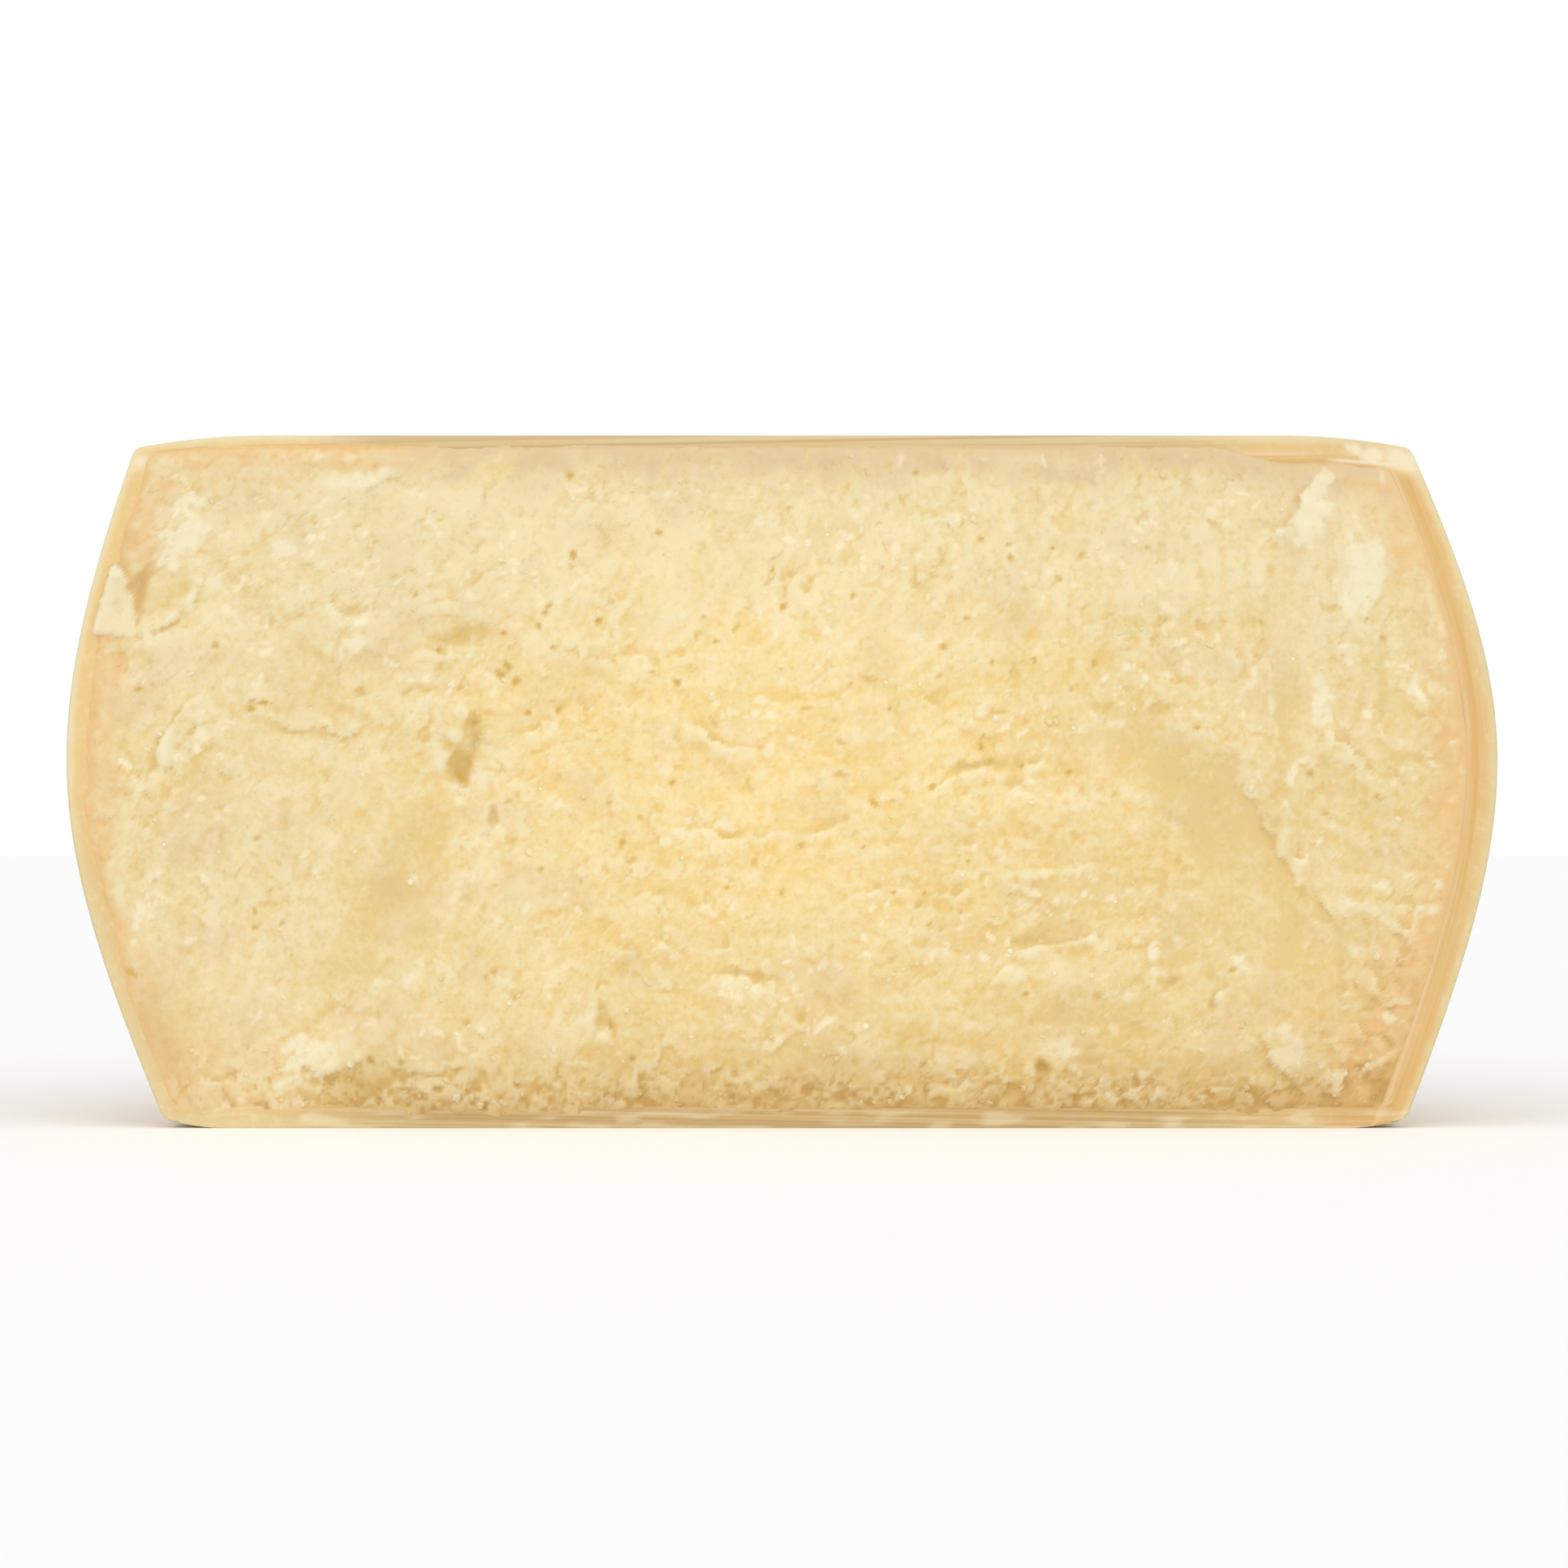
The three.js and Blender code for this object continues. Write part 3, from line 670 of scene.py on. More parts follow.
# The way the curd lies at some places: middle, reach, and angle in degrees from the level.
currents = [
    (0, 96, 60, 0), (62, 108, 26, 8), (92, 70, 36, 4), (-30, 60, 36, -14), (-60, 110, 30, -30),
    (-120, 186, 44, 24), (-60, 186, 40, 66), (10, 190, 44, 84), (90, 186, 44, 96), (60, 150, 30, 40),
    (150, 150, 34, 86), (182, 150, 30, 90), (150, 80, 34, -52), (196, 90, 30, 0), (124, 124, 26, -8),
    (-112, 78, 34, 58), (-180, 60, 34, 84), (-190, 140, 30, 60), (-150, 130, 26, -20), (-90, 30, 34, 78),
    (0, 20, 50, 0), (110, 24, 44, 10), (120, 44, 16, 70), (-146, 20, 24, 20),
]


def current(x, z):
    """The angle in which the curd lies: the mean of the named ones by the doubled angle, each weighed by a
    bell on its reach."""
    level, upright = 0.02, 0.0
    for middle_x, middle_z, reach, angle in currents:
        weight = np.exp(-((x - middle_x) ** 2 + (z - middle_z) ** 2) / reach**2)
        level = level + weight * np.cos(np.radians(2 * angle))
        upright = upright + weight * np.sin(np.radians(2 * angle))
    return np.arctan2(upright, level) / 2


def threads(x, z, size, reach, seed):
    """Noise averaged along the current, both ways from each point, so that its grains are drawn out."""
    steps = 5
    total = 0
    for way in (-1, 1):
        px, pz = x, z
        for _ in range(steps):
            angle = current(px, pz)
            px, pz = px + way * reach / steps * np.cos(angle), pz + way * reach / steps * np.sin(angle)
            total = total + hills(px / size, pz / size, seed)
    return total / steps


def grains(x, z, seed):
    """Packed rounded grains, one to a unit: at each point the highest of the domes level - 1.3 d2."""
    best = np.full(np.shape(x), -9.0)
    for di in (-1, 0, 1):
        for dj in (-1, 0, 1):
            i, j = np.floor(x) + di, np.floor(z) + dj
            d2 = (x - i - hashed(i, j, seed)) ** 2 + (z - j - hashed(i, j, seed + 1)) ** 2
            best = np.maximum(best, 0.9 * hashed(i, j, seed + 2) - 1.3 * d2)
    return best


def shards(x, z, tilt, seed):
    """Broken plates, one to a unit: each has its own level from -1 to 1 and its own tilt and ends where its
    neighbour is nearer. Also how near that border is, as the second distance less the first."""
    first, second = np.full(x.shape, 9.0), np.full(x.shape, 9.0)
    level = np.zeros(x.shape)
    for di in (-1, 0, 1):
        for dj in (-1, 0, 1):
            i, j = np.floor(x) + di, np.floor(z) + dj
            dx, dz = x - i - hashed(i, j, seed), z - j - hashed(i, j, seed + 1)
            distance = np.hypot(dx, dz)
            closer = distance < first
            lean = dx * (2 * hashed(i, j, seed + 3) - 1) + dz * (2 * hashed(i, j, seed + 4) - 1)
            level = np.where(closer, 2 * hashed(i, j, seed + 2) - 1 + tilt * lean, level)
            second = np.where(closer, first, np.minimum(second, distance))
            first = np.where(closer, distance, first)
    return level, second - first


def flakes(x, z):
    """Small flakes all over the break, one to a cell of a jittered grid, of random size. Each is lifted on
    one side: it climbs as an exponential to an arched edge across the current and drops off there."""
    draw = np.random.default_rng(11)
    cell = 9.0
    height = np.zeros(x.shape)
    for cell_x in np.arange(-220, 220, cell):
        for cell_z in np.arange(0, wheel_height, cell):
            jitter_x, jitter_z, size, lift, lean, flip = draw.random(6)
            middle_x, middle_z = cell_x + cell * jitter_x, cell_z + cell * jitter_z
            wide = 2.2 + 4.4 * size**2
            near = (np.abs(x - middle_x) < 2 * wide) & (np.abs(z - middle_z) < 2 * wide)
            if not near.any():
                continue
            angle = current(middle_x, middle_z) + np.pi * (0.5 + (flip < 0.4)) + 1.4 * (lean - 0.5)
            dx, dz = x[near] - middle_x, z[near] - middle_z
            toward = dx * np.cos(angle) + dz * np.sin(angle)
            across = (dz * np.cos(angle) - dx * np.sin(angle)) / wide
            behind = 0.4 * wide * (1 - across**2) - toward
            lifted = np.exp(-np.maximum(behind, 0) / (0.8 * wide)) * ease(behind / 0.9 + 0.5)
            rise = (0.03 + 0.028 * wide) * (0.4 + lift) * np.clip(1 - across**2, 0, 1)
            height[near] += rise * (lifted - 0.15 * bell(behind + 0.9))
    return height


def crumbling(x, z):
    """How crumbly the break is, from 0 in a smooth scoop to 1, and over 1 near the base; and how smooth."""
    smooth = np.zeros(x.shape)
    near_x, near_z = warped(*warped(x, z, 4, 14, 71), 1.6, 4, 73)
    for scoop in scoops:
        smooth = np.maximum(smooth, scoop[-1] * ease(2.4 * dome(near_x, near_z, (*scoop[:5], 1)) - 0.5))
    patchy = 0.8 + 0.35 * hills(x / 19, z / 19, 31) + 0.2 * hills(x / 7, z / 7, 32)
    ragged = 1.6 * bell((z - 8) / 9) + dome(near_x, near_z, (188, 36, 44, 18, 78, 1.3))
    return np.clip(patchy, 0.25, 1.3) * (1 - 0.92 * smooth) + ragged, smooth


def fine_relief(x, z, crumbly, smooth):
    """Broken plates of two sizes, with a crevice between some of them, grains of two sizes on a warped grid,
    threads along the current, and flakes. Low down, where the paste tore most, there are lumps with pits
    between them."""
    torn_x, torn_z = warped(*warped(x, z, 1.6, 6, 41), 0.7, 2.4, 43)
    level, border = shards(torn_x / 7.5, torn_z / 6.2, 1.6, 11)
    crevice = ease(2.2 * hills(x / 9, z / 7, 12) - 0.5) * bell(border / 0.1)
    height = 0.17 * level - 0.2 * crevice
    level, border = shards(torn_x / 3.6, torn_z / 3.1, 1.4, 14)
    crevice = ease(2.4 * hills(x / 6, z / 6, 13) - 0.7) * bell(border / 0.16)
    height = height + 0.07 * level - 0.12 * crevice
    height = height + 0.1 * grains(torn_x / 3.1, torn_z / 2.8, 24)
    height = height + 0.05 * grains(torn_x / 1.9, torn_z / 1.9, 17)
    height = height + 0.07 * threads(torn_x, torn_z, 1.7, 5, 51) + 0.08 * threads(torn_x, torn_z, 3.4, 8, 52)
    low_down = bell((z - 9) / 9) * ease(0.6 + hills(x / 12, z / 9, 109))
    lumpy = 1.1 * grains(torn_x / 3.8, torn_z / 3.2, 106) + 0.4 * grains(torn_x / 2.1, torn_z / 1.9, 114)
    pits = ease((grains(x / 5.2, z / 4, 107) - 0.5) / 0.2)
    return crumbly * height + low_down * (lumpy - pits) + (1 - 0.85 * smooth) * flakes(torn_x, torn_z)


def tooth_inside(x, z):
    """How far inside the tooth a point lies: the least of its distances to the sides."""
    corners = tooth["corners"]
    return np.min([((bx - ax) * (z - az) - (bz - az) * (x - ax)) / np.hypot(bx - ax, bz - az)
                   for (ax, az), (bx, bz) in zip(corners, corners[1:] + corners[:1])], axis=0)


def blurred(grid, reach):
    """The mean over a square of cells, by running sums along both ways, done twice."""
    for _ in range(2):
        for axis in (0, 1):
            padded = np.pad(grid, [(reach + 1, reach) if a == axis else (0, 0) for a in (0, 1)], "edge")
            total = np.cumsum(padded, axis)
            ends = np.take(total, range(2 * reach + 1, total.shape[axis]), axis)
            starts = np.take(total, range(total.shape[axis] - 2 * reach - 1), axis)
            grid = (ends - starts) / (2 * reach + 1)
    return grid


def around(grid):
    """The border of a grid of points, once round: the low row, the right side, the high row, the left."""
    return np.concatenate([grid[0, :-1], grid[:-1, -1], grid[-1, :0:-1], grid[:0:-1, 0]])


# The grid's outline follows the band's inner edge and wanders as it crumbles. On the left it reaches out
# over the band, where a tooth of paste has stayed on the rind. The face rises from the band gently at the
# sides and in a step along the top and the base.
s, t = np.meshgrid(np.linspace(0, 1, paste_columns), np.linspace(0, 1, paste_rows))
along = belly_radius * (2 * s - 1)
low = band["base"] - overlap["base"] + 1.1 * hills(along / 11, 0 * t, 20) + 0.5 * hills(along / 3, 0 * t, 21)
near_top = wheel_height - 5
top_left = band["left"] - overlap["left"] - heel_radius(np.pi, near_top)
top_right = heel_radius(0.0, near_top) - band["right"] + overlap["right"]
high = wheel_height - top_band(top_left + (top_right - top_left) * s) + overlap["top"]
high = high - 0.15 * hills(along / 12, 0 * t, 22)
level = low + (high - low) * t
side_wander = 1.1 * hills(0 * s, level / 11, 23) + 0.5 * hills(0 * s, level / 3, 25)
left_side = -heel_radius(np.pi, level) + band["left"] - overlap["left"] + side_wander
right_side = heel_radius(0.0, level) - band["right"] + overlap["right"] + 0.4 * hills(0 * s, level / 15, 24)
left_edge = left_side - tooth["reach"] * bell((level - tooth["middle"]) / tooth["half_height"])
x = left_edge + (right_side - left_edge) * s
share = level / wheel_height
crumbly, smooth = crumbling(x, level)
from_side = np.minimum(x - left_side, right_side - x)
from_flat = np.minimum(level - low, high - level)
eye_lumps = [(px, pz, 0.4 + 0.55 * radius, 0.4 + 0.5 * radius, 0, radius) for px, pz, radius in eyes]
holes = sum(domes(*warped(x, level, 0.8, 2.6, 53), eye_lumps))
height = broad_relief(x, level) + fine_relief(x, level, crumbly, smooth)
height = height * (0.3 + 0.7 * ease(from_flat / step_run)) - hole_depth * holes
height = height - 0.4 * (1 - ease(from_flat / 2.2))
height = 0.15 + (height - 0.15) * ease(from_side / 6) - 0.4 * (1 - ease((from_side + 1) / 4))
tooth_edge = 0.9 * hills(x / 2.2, level / 1.8, 92) + 0.7 * hills(x / 4.6, level / 3.8, 116)
on_tooth = ease((tooth_inside(x, level) + ease((x + 212) / 8) * tooth_edge) / tooth["edge"])
height = np.maximum(height, on_tooth * (tooth["level"] + 1.2 + 0.3 * hills(x / 3, level / 3, 91)) - 1.2)
z = settle(x, 0 * x, share)
front = np.stack([x, axis_y - height, z], -1)

# Behind the face the slab is a plain block that sinks into the rind's recess.
index = np.arange(paste_rows * paste_columns).reshape(paste_rows, paste_columns)
rim = around(index)
sunk_rim = around(front).copy()
sunk_rim[:, 1] = axis_y + paste_back
n, m = index.size, len(rim)
k = np.arange(m)
faces = np.stack([index[:-1, :-1], index[:-1, 1:], index[1:, 1:], index[1:, :-1]], -1)
faces = faces.reshape(-1, 4).tolist()
faces += np.stack([rim[(k + 1) % m], rim, n + k, n + (k + 1) % m], -1).tolist()
faces += np.stack([n + (k + 1) % m, n + k, np.full(m, n + m)], -1).tolist()
points = np.concatenate([front.reshape(-1, 3), sunk_rim, sunk_rim.mean(0)[None]])

# What the colours follow. Patches are written as lumps are, with a strength for the rise: tints make the
# paste paler or darker, hazes floury, blushes tan, and the painted shade patches lay amber shade in hollows
# and corners. The tan of the rind reaches in from each side by a distance that changes with the height,
# given as pairs of height and distance.
tints = [
    (-90, 142, 32, 24, -40, -0.35), (-132, 42, 18, 14, 0, 0.25), (-165, 62, 34, 20, 90, 0.25),
    (166, 150, 34, 18, 90, 0.2), (66, 22, 24, 10, 0, -0.25), (145, 77, 18, 12, -50, 0.3),
    (150, 155, 40, 50, 0, 0.16), (-103, 121, 12, 4.5, 84, -0.35), (-162, 175, 14, 8, 40, -0.25),
]
hazes = [
    (-184, 184, 14, 6, 74, 1.0), (-176, 166, 7, 5, 60, 0.6), (-182.5, 197.5, 8, 1.8, -47, 1.2),
    (-165, 196, 4, 3, 0, 0.7), (-154, 179, 10, 6, -60, 0.7), (-147, 167, 9, 2, -14, 0.9),
    (-136, 157, 6, 2, -42, 0.8), (-132, 148.5, 9, 2.2, 2, 0.6), (-174, 156, 6, 4, 0, 0.6),
    (-131, 198.5, 10, 2.6, 22, 0.9), (-118, 103, 4, 1, 88, 0.7), (-100, 104, 5, 1.6, 15, 0.9),
    (-145, 24, 11, 7, 15, 1.0), (-122, 45.5, 14, 1.2, 2, 0.5), (-162, 37, 7, 2, 50, 0.6),
    (-197, 66, 14, 4, 84, 0.9), (163.5, 190, 12, 6, 72, 1.0), (162, 182, 7, 4, 20, 0.6),
    (180, 172, 15, 6.5, -82, 1.0), (173, 160, 8, 6, 40, 0.6), (167, 132, 13, 4, 80, 0.8),
    (173, 149, 6, 3, 80, 0.6), (158, 109, 6, 2, 60, 0.7), (145, 140, 12, 1.8, 72, 0.6),
    (155, 97, 8, 1.6, 84, 0.5), (173, 68, 9, 7, -60, 0.25), (174, 54, 6, 4, 0, 0.3),
    (156, 24, 10, 5, 70, 1.0), (140, 51, 4, 1.4, -60, 0.9), (115, 52, 8, 2, 80, 0.8),
    (117, 68, 8, 1.4, 86, 0.5), (195, 135, 3, 2, 84, 0.9), (-114, 75, 3, 2.2, 90, 1.0),
    (88, 22, 6, 4, 60, 0.6), (-5, 26.5, 7, 3, 0, 0.8), (-18, 93, 4, 1.4, 0, 0.8), (-33, 92, 5, 1.2, 0, 0.6),
    (106, 130, 8, 2, 10, 0.6), (92, 123, 4, 2, 40, 0.5), (-77, 103, 5, 3, 0, 0.5),
    (-77, 70, 5, 1.4, 84, 0.6), (-86, 80, 6, 1.4, -60, 0.6), (-180, 126, 4, 3, 0, 0.6),
    (-178, 119, 3, 1.6, 0, 0.6), (43, 151, 7, 4, 40, 0.5), (15, 167, 5, 5, 0, 0.4),
    (-60, 137, 10, 5, 0, 0.3), (52, 187, 4, 4, 0, 0.5), (185, 36, 4, 2, -60, 0.6),
]
blushes = [
    (193, 178, 24, 8, -74, 0.9), (-199, 170, 18, 4.6, 78, 1.8), (-200, 192, 10, 4, 66, 1.4),
    (182, 199, 16, 4.5, -8, 1.0), (-119, 208.3, 5, 1.2, -6, 1.3), (-146, 207.3, 4, 1, 0, 1.2),
    (-192, 197, 9, 6, 50, 0.9), (-180, 205, 16, 4, -4, 0.7), (-170, 202, 26, 5, -8, 0.6),
    (-205, 145, 10, 5, 80, 0.7), (-183, 22, 22, 16, -66, 0.75), (-180, 10, 16, 6, 0, 0.9),
    (196, 36, 30, 12, 76, 1.0), (180, 18, 16, 12, 30, 1.0), (148, 90, 10, 2.4, -60, 0.5),
    (-160, 20, 12, 5, 0, 0.5), (-163, 8, 18, 5, 0, 0.9), (158, 8, 20, 5, 0, 0.8),
    (-122, 205, 12, 3, 4, 0.9), (176, 40, 26, 14, 40, 0.5), (183, 188, 12, 9, -60, 0.55),
]
# Painted shade: amber patches in hollows, grooves and corners.
painted_shade_patches = [
    (187, 13, 10, 7, 20, 0.6), (199, 26, 18, 4, 74, 0.5), (-192, 30, 24, 6, -72, 0.22),
    (-98.5, 110.5, 3.6, 3, 0, 0.3), (-94, 119, 9, 3.6, 70, 0.25), (-197.5, 166, 8, 3, 78, 0.4),
    (-185, 22, 24, 12, -60, 0.07), (192, 28, 22, 7, 74, 0.18), (-130, 13, 12, 5, 4, 0.2),
    (-99, 153, 12, 4, 4, 0.16), (-104, 142, 5, 4, -40, 0.22), (-200, 184, 7, 2.6, 70, 0.25),
    (204, 165, 14, 1.6, -78, 0.5),
]
side_glow = {"left": [(0, 15), (30, 18), (70, 14), (105, 19), (180, 20), (213, 14)],
             "right": [(0, 36), (30, 34), (70, 22), (105, 25), (140, 23), (180, 18), (213, 18)]}
left, right, above, below = side_depths(x, share)
patch_x, patch_z = warped(*warped(x, level, 2.2, 6, 83), 0.9, 2.2, 85)
fine = height - blurred(height, 2)
coarse = height - blurred(height, 7)
drawn = threads(x, level, 2.6, 6, 94) + 0.4 * threads(x, level, 6.0, 12, 95)
mottled = hills(patch_x / 9, patch_z / 8, 98) + 0.6 * hills(patch_x / 4.5, patch_z / 4, 99)
ragged_edge = 0.75 + 0.35 * hills(x / 2.4, level / 2.4, 87)
eyes_here = np.clip(1.4 * holes, 0, 1)
off_base = ease((level - 20) / 15)

# The paste is brighter and yellower in the middle of the face and darker towards the rind. Holes and a few
# grains are yolk yellow, most of all in the middle.
core = bell((x + 5) / 105) * bell((level - 112) / 72) - 0.2 * smooth
core = np.clip(core + 0.15 * hills(x / 15, level / 12, 81), 0, 1)
golden = ease((grains(patch_x / 7, patch_z / 5, 115) - 0.8) / 0.06) * (1 - 0.7 * smooth)
yolk = np.clip(0.95 * eyes_here * (0.6 + 0.4 * core) * off_base + golden * (0.25 + 0.35 * core), 0, 1)

# Grain tops, lifted edges and drawn-out threads are dry and pale, and so are the upper half and the left.
# The pale of what stands out is partly a painted highlight, and the hollows of the relief are painted darker
# as shade. The smooth scoops, the right and the far upper left are darker.
blobs = ease(2.6 * grains(patch_x / 3.4, patch_z / 3.0, 97) - 0.9)
# Painted light: fine and coarse relief pale what stands out and darken the hollows.
cream = 0.4 + 1.6 * fine + 0.25 * coarse + 0.3 * drawn * (1 - 0.5 * smooth) + 0.2 * blobs + 0.14 * mottled
cream = cream - 0.3 * smooth + 0.4 * ease((level - 120) / 60) * ease((wheel_height - 4 - level) / 12)
cream = cream + 0.3 * on_tooth - 0.1 * ease((x - 50) / 50) + 0.17 * ease((-x - 50) / 40)
cream = cream - 0.15 * ease((level - 140) / 30) * ease((-x - 110) / 40)
cream = cream + sum(domes(patch_x, patch_z, tints))

# Floury haze has ragged edges and keeps to what stands out, where it is partly a painted highlight. It
# covers the tooth, most of all its outer side, where it is a painted highlight.
haze = np.max(domes(patch_x, patch_z, hazes), axis=0) * ragged_edge
haze = 0.25 * haze + 0.7 * ease((haze + 0.8 * fine + 0.25 * drawn - 0.3) / 0.2)
# Painted highlight along the outer, left side of the tooth.
haze = np.maximum(haze, on_tooth * (0.2 + 0.6 * ease((-207 + 0.3 * (level - 165) - x) / 3)))

# Near the rind the paste is tan, in patches with paler spots in them.
blush = np.max(domes(patch_x, patch_z, blushes), axis=0) * ragged_edge
for side, inside in (("left", left), ("right", right)):
    reach = np.interp(level, *np.transpose(side_glow[side])) + 3 * hills(x / 7, level / 9, 89)
    blush = np.maximum(blush, ease((reach - inside) / 11) * (0.45 + 0.6 * ragged_edge))
blush = np.maximum(blush, ease((13 - above) / 7) * ease((-95 - x) / 30) * ragged_edge)
spots = ease(2.4 * grains(patch_x / 2.9, patch_z / 2.6, 110) - 0.6)
spots = spots + 0.7 * ease(2 * hills(x / 2.2, level / 2.2, 111))
blush = blush * (1 - on_tooth) * np.clip(1.05 + 0.2 * mottled - 1.6 * fine - 0.3 * spots, 0.3, 1.1)

# White flecks are crushed grains. They lie in clusters, away from the edges and from the tan.
clustered = 0.4 + 0.8 * hills(patch_x / 16, patch_z / 14, 103) + 0.1 * ease((level - 110) / 60)
fleck = ease((grains(patch_x / 3.4, patch_z / 2.6, 105) - 0.58) / 0.16) * np.clip(clustered, 0, 1)
fleck = fleck * 0.7 * (1 - 0.8 * smooth) * ease((from_side - 4) / 8) * ease((from_flat - 8) / 10)
fleck = fleck * (1 - 0.7 * np.clip(blush, 0, 1))

# Dull brown clouds lie here and there, and painted shade lies in a belt under the upper band except at the
# far left.
brown_and_shade = hills(patch_x / 15, patch_z / 12, 100) + 0.5 * hills(patch_x / 6, patch_z / 6, 101)
brown_and_shade = 0.3 * np.clip(brown_and_shade - 0.1, 0, 1)
under_top = (15 + top_band(x) - above + 4 * hills(x / 9, level / 5, 102) + 4 * drawn + 1.6 * mottled) / 16
# Painted shade in a belt under the upper band.
brown_and_shade = np.maximum(brown_and_shade, 0.85 * ease(under_top) * ease((x + 130) / 20))

# Amber: painted shade in grooves and holes, in a belt along the base and in the painted shade patches, and
# amber torn spots along the base and low down on the right.
# Painted shade: the hollows of the relief and the holes are darkened to amber.
cavity_shade = np.clip(-fine - 0.1, 0, None) * 0.8 + np.clip(-coarse - 0.25, 0, None) * 0.15
cavity_shade = np.clip(np.minimum(cavity_shade, 0.32) + eyes_here * (0.3 * (1 - core) + 0.4 * (1 - off_base)), 0, 0.8)
# Painted shade: a belt along the base.
painted_base_shade = bell(level / 23) * (0.7 + 0.3 * hills(x / 5, level / 4, 88))
painted_base_shade = (1 + 0.25 * ease(x / 30)) * (0.6 * painted_base_shade + 0.2 * bell((level - 5) / 4))
painted_base_shade = painted_base_shade * ease((x + 150) / 25) * ease((190 - x) / 25)
torn_rim = 0.9 * ease(2.4 * hills(x / 2.6, level / 1.9, 112) - 0.7) * bell((from_flat - 2) / 3)
torn_rim = torn_rim * (level < 40)
torn_foot = 0.6 * ease(2.6 * hills(x / 1.7, level / 1.5, 117) - 0.8) * bell((level - 9) / 8)
torn_foot = torn_foot * ease((x + 160) / 30)
low_right = 0.35 * blush * ease((x - 120) / 40) * ease((80 - level) / 40)
low_right = low_right * ease(2 * hills(x / 2.6, level / 2.4, 113))
amber_and_shade = cavity_shade + painted_base_shade + sum(domes(patch_x, patch_z, painted_shade_patches)) + torn_rim + torn_foot + low_right
amber_and_shade = np.clip(amber_and_shade, 0, 1) * (1 - 0.8 * on_tooth)
traits = {
    "cream": cream,
    "core": core,
    "brown_and_shade": brown_and_shade,
    "blush": blush,
    "haze": haze,
    "fleck": fleck,
    "amber_and_shade": amber_and_shade,
    "yolk": yolk,
    "smooth": smooth,
    "deep": ease(np.minimum(from_side, from_flat) / 4),
}

# The paste: dry hard cheese that has been split. It is matt and a little translucent, pale straw where it is
# dry and broken, with a painted highlight on what stands out and amber painted shade in the hollows and
# along the base, and mottled like grain. Sizes are millimetres.
paste_patterns = {"mottle": 1.8, "dot": 2.8, "grit": 1.2}
paste_material, tree, shader = new_material("aged_cheese_paste")
place, trait = from_mesh(tree, traits)
mottle, dots, grit = (
    add(tree, "ShaderNodeTexNoise", {"Vector": place, "Scale": 1000 / paste_patterns[name], "Detail": detail,
                                     "Roughness": roughness})
    for name, detail, roughness in (("mottle", 3.0, 0.6), ("dot", 1.0, 0.5), ("grit", 3.0, 0.5))
)
speckled = add(tree, "ShaderNodeMapRange", {"Value": mottle, "From Min": 0.3, "From Max": 0.7,
                                            "To Min": -0.28, "To Max": 0.28})
sparse = add(tree, "ShaderNodeMapRange", {"Value": dots, "From Min": 0.6, "From Max": 0.72, "To Max": 0.14})
pale = add(tree, "ShaderNodeMath", {0: trait["cream"], 1: speckled}, operation="ADD", use_clamp=True)
middle_tone, outer_tone = (
    add(tree, "ShaderNodeMix", {"Factor": pale, "A": paste_colours[dark], "B": paste_colours[light]},
        data_type="RGBA")
    for dark, light in (("straw", "cream"), ("outer_straw", "outer_cream"))
)
# Darker towards the rind, brighter and yellower in the middle.
tone = add(tree, "ShaderNodeMix", {"Factor": trait["core"], "A": outer_tone, "B": middle_tone}, data_type="RGBA")
coats = [(trait[name], name) for name in ("brown_and_shade", "blush", "haze", "fleck", "amber_and_shade", "yolk")]
for amount, name in coats + [(sparse, "amber_and_shade")]:
    tone = add(tree, "ShaderNodeMix", {"Factor": amount, "A": tone, "B": paste_colours[name]},
               data_type="RGBA")
rough = add(tree, "ShaderNodeMapRange", {"Value": trait["smooth"], "To Min": 0.2, "To Max": 0.06})
gritty = add(tree, "ShaderNodeBump", {"Height": grit, "Strength": rough, "Distance": 0.0006})
glow = add(tree, "ShaderNodeMath", {0: trait["deep"], 1: 0.25}, operation="MULTIPLY")
feed(tree, shader, {"Base Color": tone, "Normal": gritty, "Roughness": 0.62, "IOR": 1.45,
                    "Subsurface Weight": glow, "Subsurface Radius": (1.0, 0.6, 0.25),
                    "Subsurface Scale": 0.0008})

paste_traits = {name: np.append(values, np.zeros(m + 1)) for name, values in traits.items()}
make_piece("paste", points, faces, paste_traits, [paste_material])


# Crumbs cling to the break where it tore, most of them along the base. They are of the same dry paste, too
# small for light to spread in them, and broken all round, so that they show facets.
crumb_count = 700
crumb_sizes = (0.6, 2.0)
crumb_rings = np.radians([-50, 0, 50])
crumb_columns = 6
draw = np.random.default_rng(5)


def scattered(count, sizes, likely, sink):
    """Places for small lumps on the paste, drawn at random and kept where a random number is below how
    likely one is there. Most are small, and each is sunk by a share of its size."""
    tries, margin = count * 12, 4
    row = draw.integers(margin, paste_rows - margin, tries)
    column = draw.integers(margin, paste_columns - margin, tries)
    kept = np.flatnonzero(draw.random(tries) < likely[row, column])[:count]
    row, column = row[kept], column[kept]
    size = sizes[0] + (sizes[1] - sizes[0]) * draw.random(len(kept)) ** 2.5
    middle = front[row, column].copy()
    middle[:, 1] += sink * size
    return middle, size, row, column


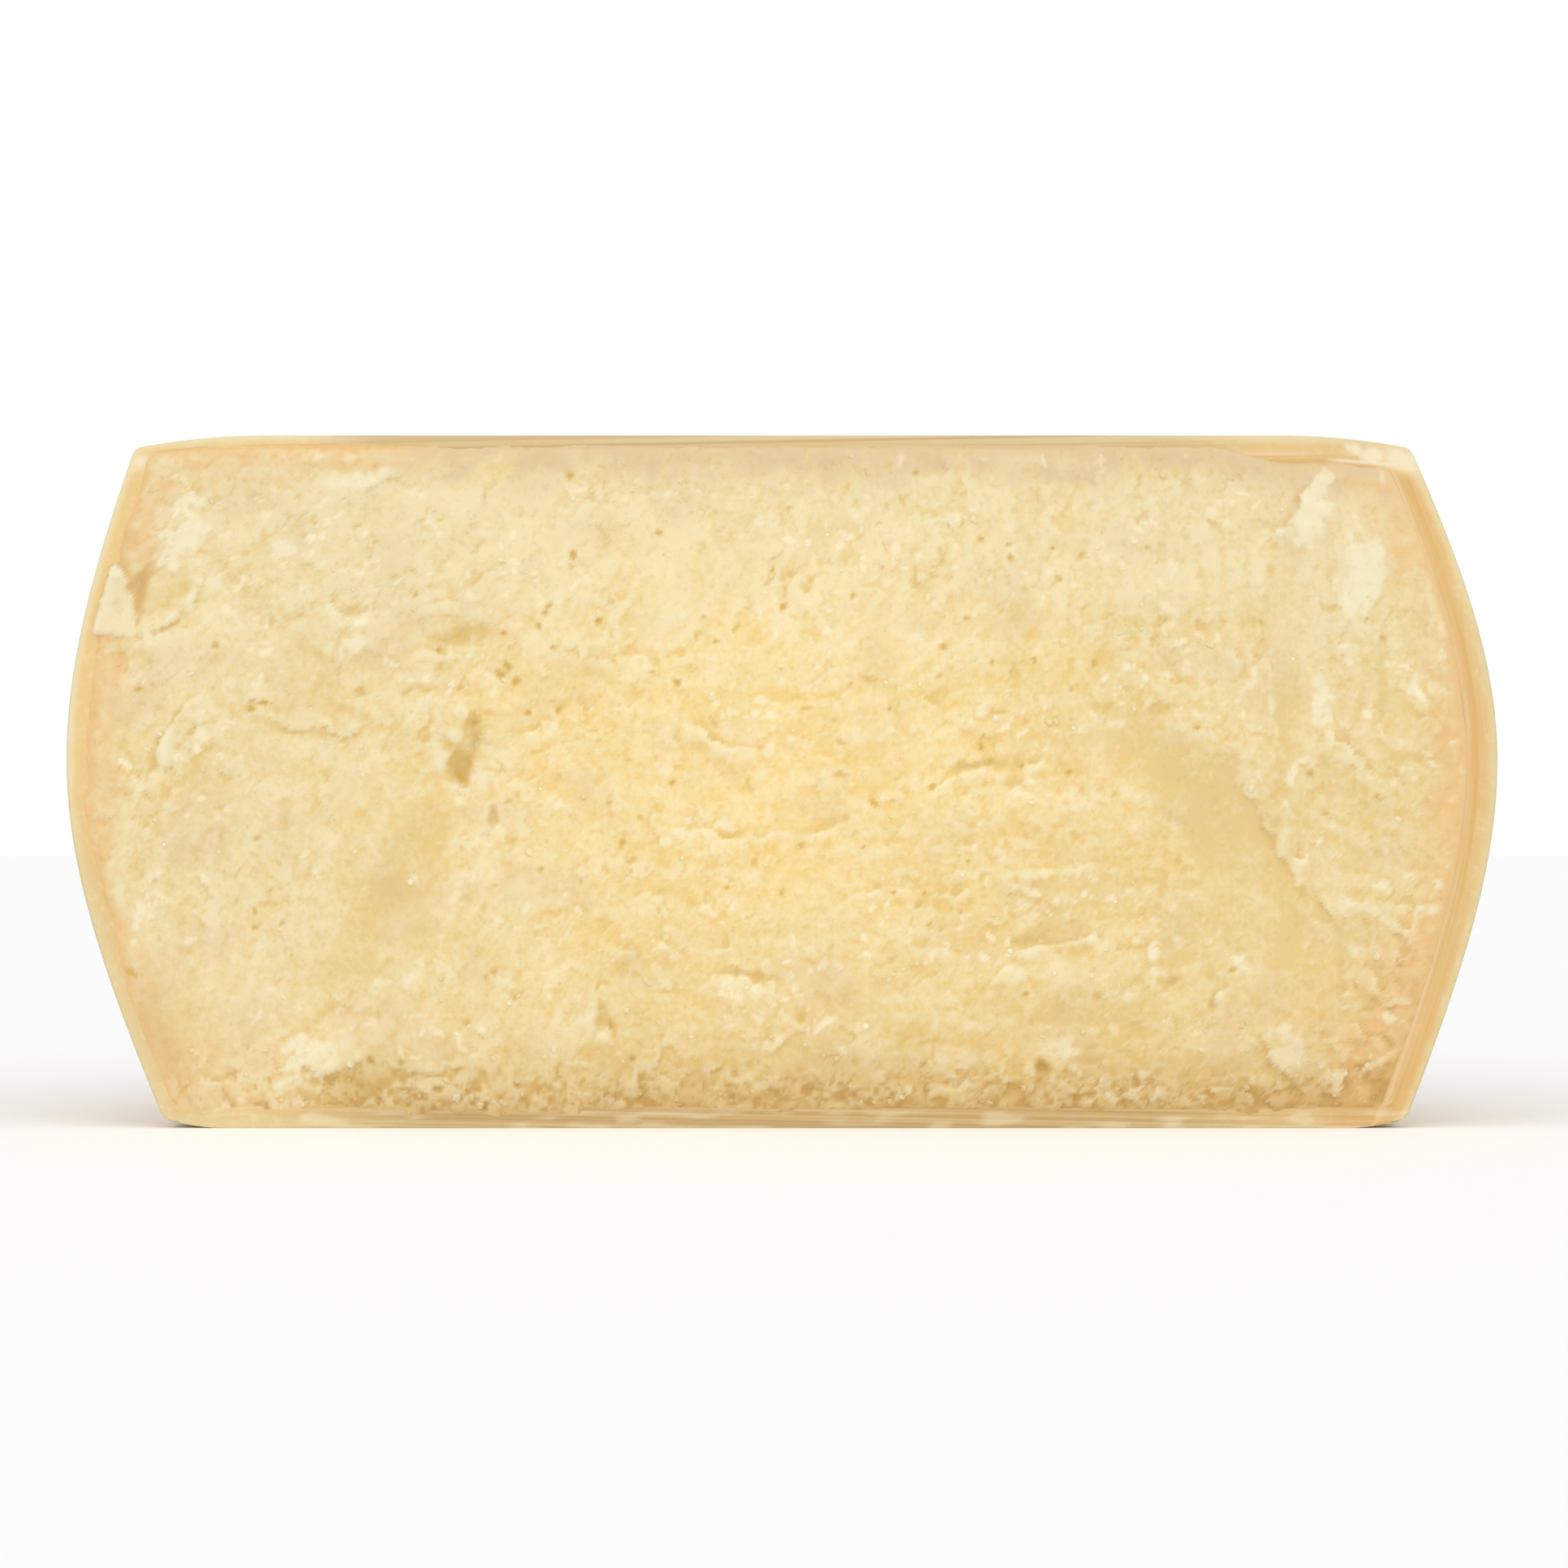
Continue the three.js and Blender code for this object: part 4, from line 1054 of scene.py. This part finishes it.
def lumps_at(middle, size, flat):
    """Rough balls: rings of a sphere, whose points are moved in and out. Each is flattened and turned its
    own way."""
    count = len(size)
    turn = np.arange(crumb_columns) * 2 * np.pi / crumb_columns
    out, up = np.cos(crumb_rings)[:, None], np.sin(crumb_rings)[:, None]
    ring = np.stack([out * np.cos(turn), out * np.sin(turn), up + 0 * turn], -1).reshape(-1, 3)
    ball = np.concatenate([ring, [[0, 0, -1], [0, 0, 1]]])
    shape = ball * (0.75 + 0.5 * draw.random((count, len(ball), 1)))
    shape = shape * (1 - flat * draw.random((count, 1, 3)))
    axes = np.linalg.qr(draw.normal(size=(count, 3, 3)))[0]
    axes[:, :, 0] *= np.linalg.det(axes)[:, None]
    points = middle[:, None] + size[:, None, None] * np.einsum("nij,nkj->nki", axes, shape)
    quads, fans = closed_grid(len(crumb_rings), crumb_columns)
    faces = [[n * len(ball) + corner for corner in face] for n in range(count) for face in quads + fans]
    return points.reshape(-1, 3), faces


density = 0.2 * crumbly + 0.9 * bell(level / 18) + 0.25 * hills(x / 14, level / 10, 93)
density = np.clip(density, 0, 1) * (1 - smooth) * (1 - on_tooth)
middle, size, row, column = scattered(crumb_count, crumb_sizes, density, sink=0.45)
points, faces = lumps_at(middle, size, flat=0.4)
corners_each = len(crumb_rings) * crumb_columns + 2
crumb_traits = {name: np.repeat(values[row, column], corners_each) for name, values in traits.items()}
crumb_traits["cream"] = crumb_traits["cream"] + 0.15
crumb_traits["amber_and_shade"] = 0.7 * crumb_traits["amber_and_shade"]
crumb_material = paste_material.copy()
crumb_material.name = "dry_cheese_crumb"
glow = crumb_material.node_tree.nodes["Principled BSDF"].inputs["Subsurface Weight"]
crumb_material.node_tree.links.remove(glow.links[0])
glow.default_value = 0.0
crumbs = make_piece("crumbs", points, faces, crumb_traits, [crumb_material])
crumbs.data.shade_flat()


# White crystals of amino acid, which grow in the paste as it ages. Some stand where they catch the eye, by
# x, z and size, and the others are scattered.
crystal_count = 14
crystal_sizes = (0.4, 0.7)
named_sink = 0.35
named_crystals = [
    (66, 125.5, 1.7), (102, 69, 0.9), (3, 122, 0.8), (90, 123, 1.0), (108, 129, 0.9), (14, 182.5, 0.9),
    (52, 186, 0.9), (55, 77, 0.9), (54, 83.5, 0.8), (84, 47.5, 0.9), (-173, 84.5, 0.9), (-190, 86.5, 0.8),
    (-131, 84.5, 0.9), (-74, 104, 0.9), (-102, 136, 0.9), (157, 145, 0.9), (166, 144, 0.8), (70, 54, 1.5),
    (26, 30.5, 1.7), (-114, 75, 1.8),
]

# The crystals: hard and milky, so that they show as small bright dots with a slight shine, one cloud to
# 3.3 millimetres.
crystal_cloud = 10 / 3
crystal_white, tree, shader = new_material("amino_acid_crystal")
place, _ = from_mesh(tree, ())
cloud = add(tree, "ShaderNodeTexNoise", {"Vector": place, "Scale": 1000 / crystal_cloud})
tone = add(tree, "ShaderNodeMix", {"Factor": cloud, "A": "#EBDCB2", "B": "#F2E8CA"}, data_type="RGBA")
feed(tree, shader, {"Base Color": tone, "Roughness": 0.5, "IOR": 1.5})

middle, size, row, column = scattered(crystal_count, crystal_sizes, 0.6 + 0 * density, sink=0.4)
named = np.array(named_crystals)
row = np.abs(level[:, :1] - named[:, 1]).argmin(0)
column = np.abs(x[row] - named[:, :1]).argmin(1)
middle = np.concatenate([middle, front[row, column] + [0, named_sink, 0] * named[:, 2:]])
points, faces = lumps_at(middle, np.append(size, named[:, 2]), flat=0.3)
make_piece("crystals", points, faces, {}, [crystal_white])


# The studio: a floor of matt white card, which throws the light back with no shine, even white light all
# round, and two broad soft suns in front, the stronger one from the upper left.
floor_half = 6.0
surround = {"light": 0.68, "seen": 1.0}
suns = {
    "key": {"power": 1.0, "spread": 80, "turn": (42, 0, -22)},
    "fill": {"power": 0.5, "spread": 80, "turn": (55, 0, 45)},
}
floor = bpy.data.meshes.new("floor")
corners = np.array([(-1, -1, 0), (1, -1, 0), (1, 1, 0), (-1, 1, 0)]) * floor_half
floor.from_pydata(corners.tolist(), [], [(0, 1, 2, 3)])
white, tree, shader = new_material("white_floor")
feed(tree, shader, {"Base Color": (0.98, 0.98, 0.98, 1), "Roughness": 0.9})
floor.materials.append(white)
floor_object = shown("floor", floor)
floor_object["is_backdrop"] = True

world = bpy.data.worlds.new("studio")
bpy.context.scene.world = world
world.use_nodes = True
tree = world.node_tree
ray = add(tree, "ShaderNodeLightPath", {})
strength = add(tree, "ShaderNodeMapRange", {"Value": ray.outputs["Is Camera Ray"],
                                            "To Min": surround["light"], "To Max": surround["seen"]})
feed(tree, tree.nodes["Background"], {"Color": "#FFFFFF", "Strength": strength})

for name, sun in suns.items():
    lamp = bpy.data.lights.new(name, "SUN")
    lamp.energy = sun["power"]
    lamp.angle = np.radians(sun["spread"])
    shown(name, lamp).rotation_euler = np.radians(sun["turn"])

bpy.context.scene.view_settings.view_transform = "Standard"

corners = [[list(map(float, corner)) for corner in box] for box in (cad_box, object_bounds())]
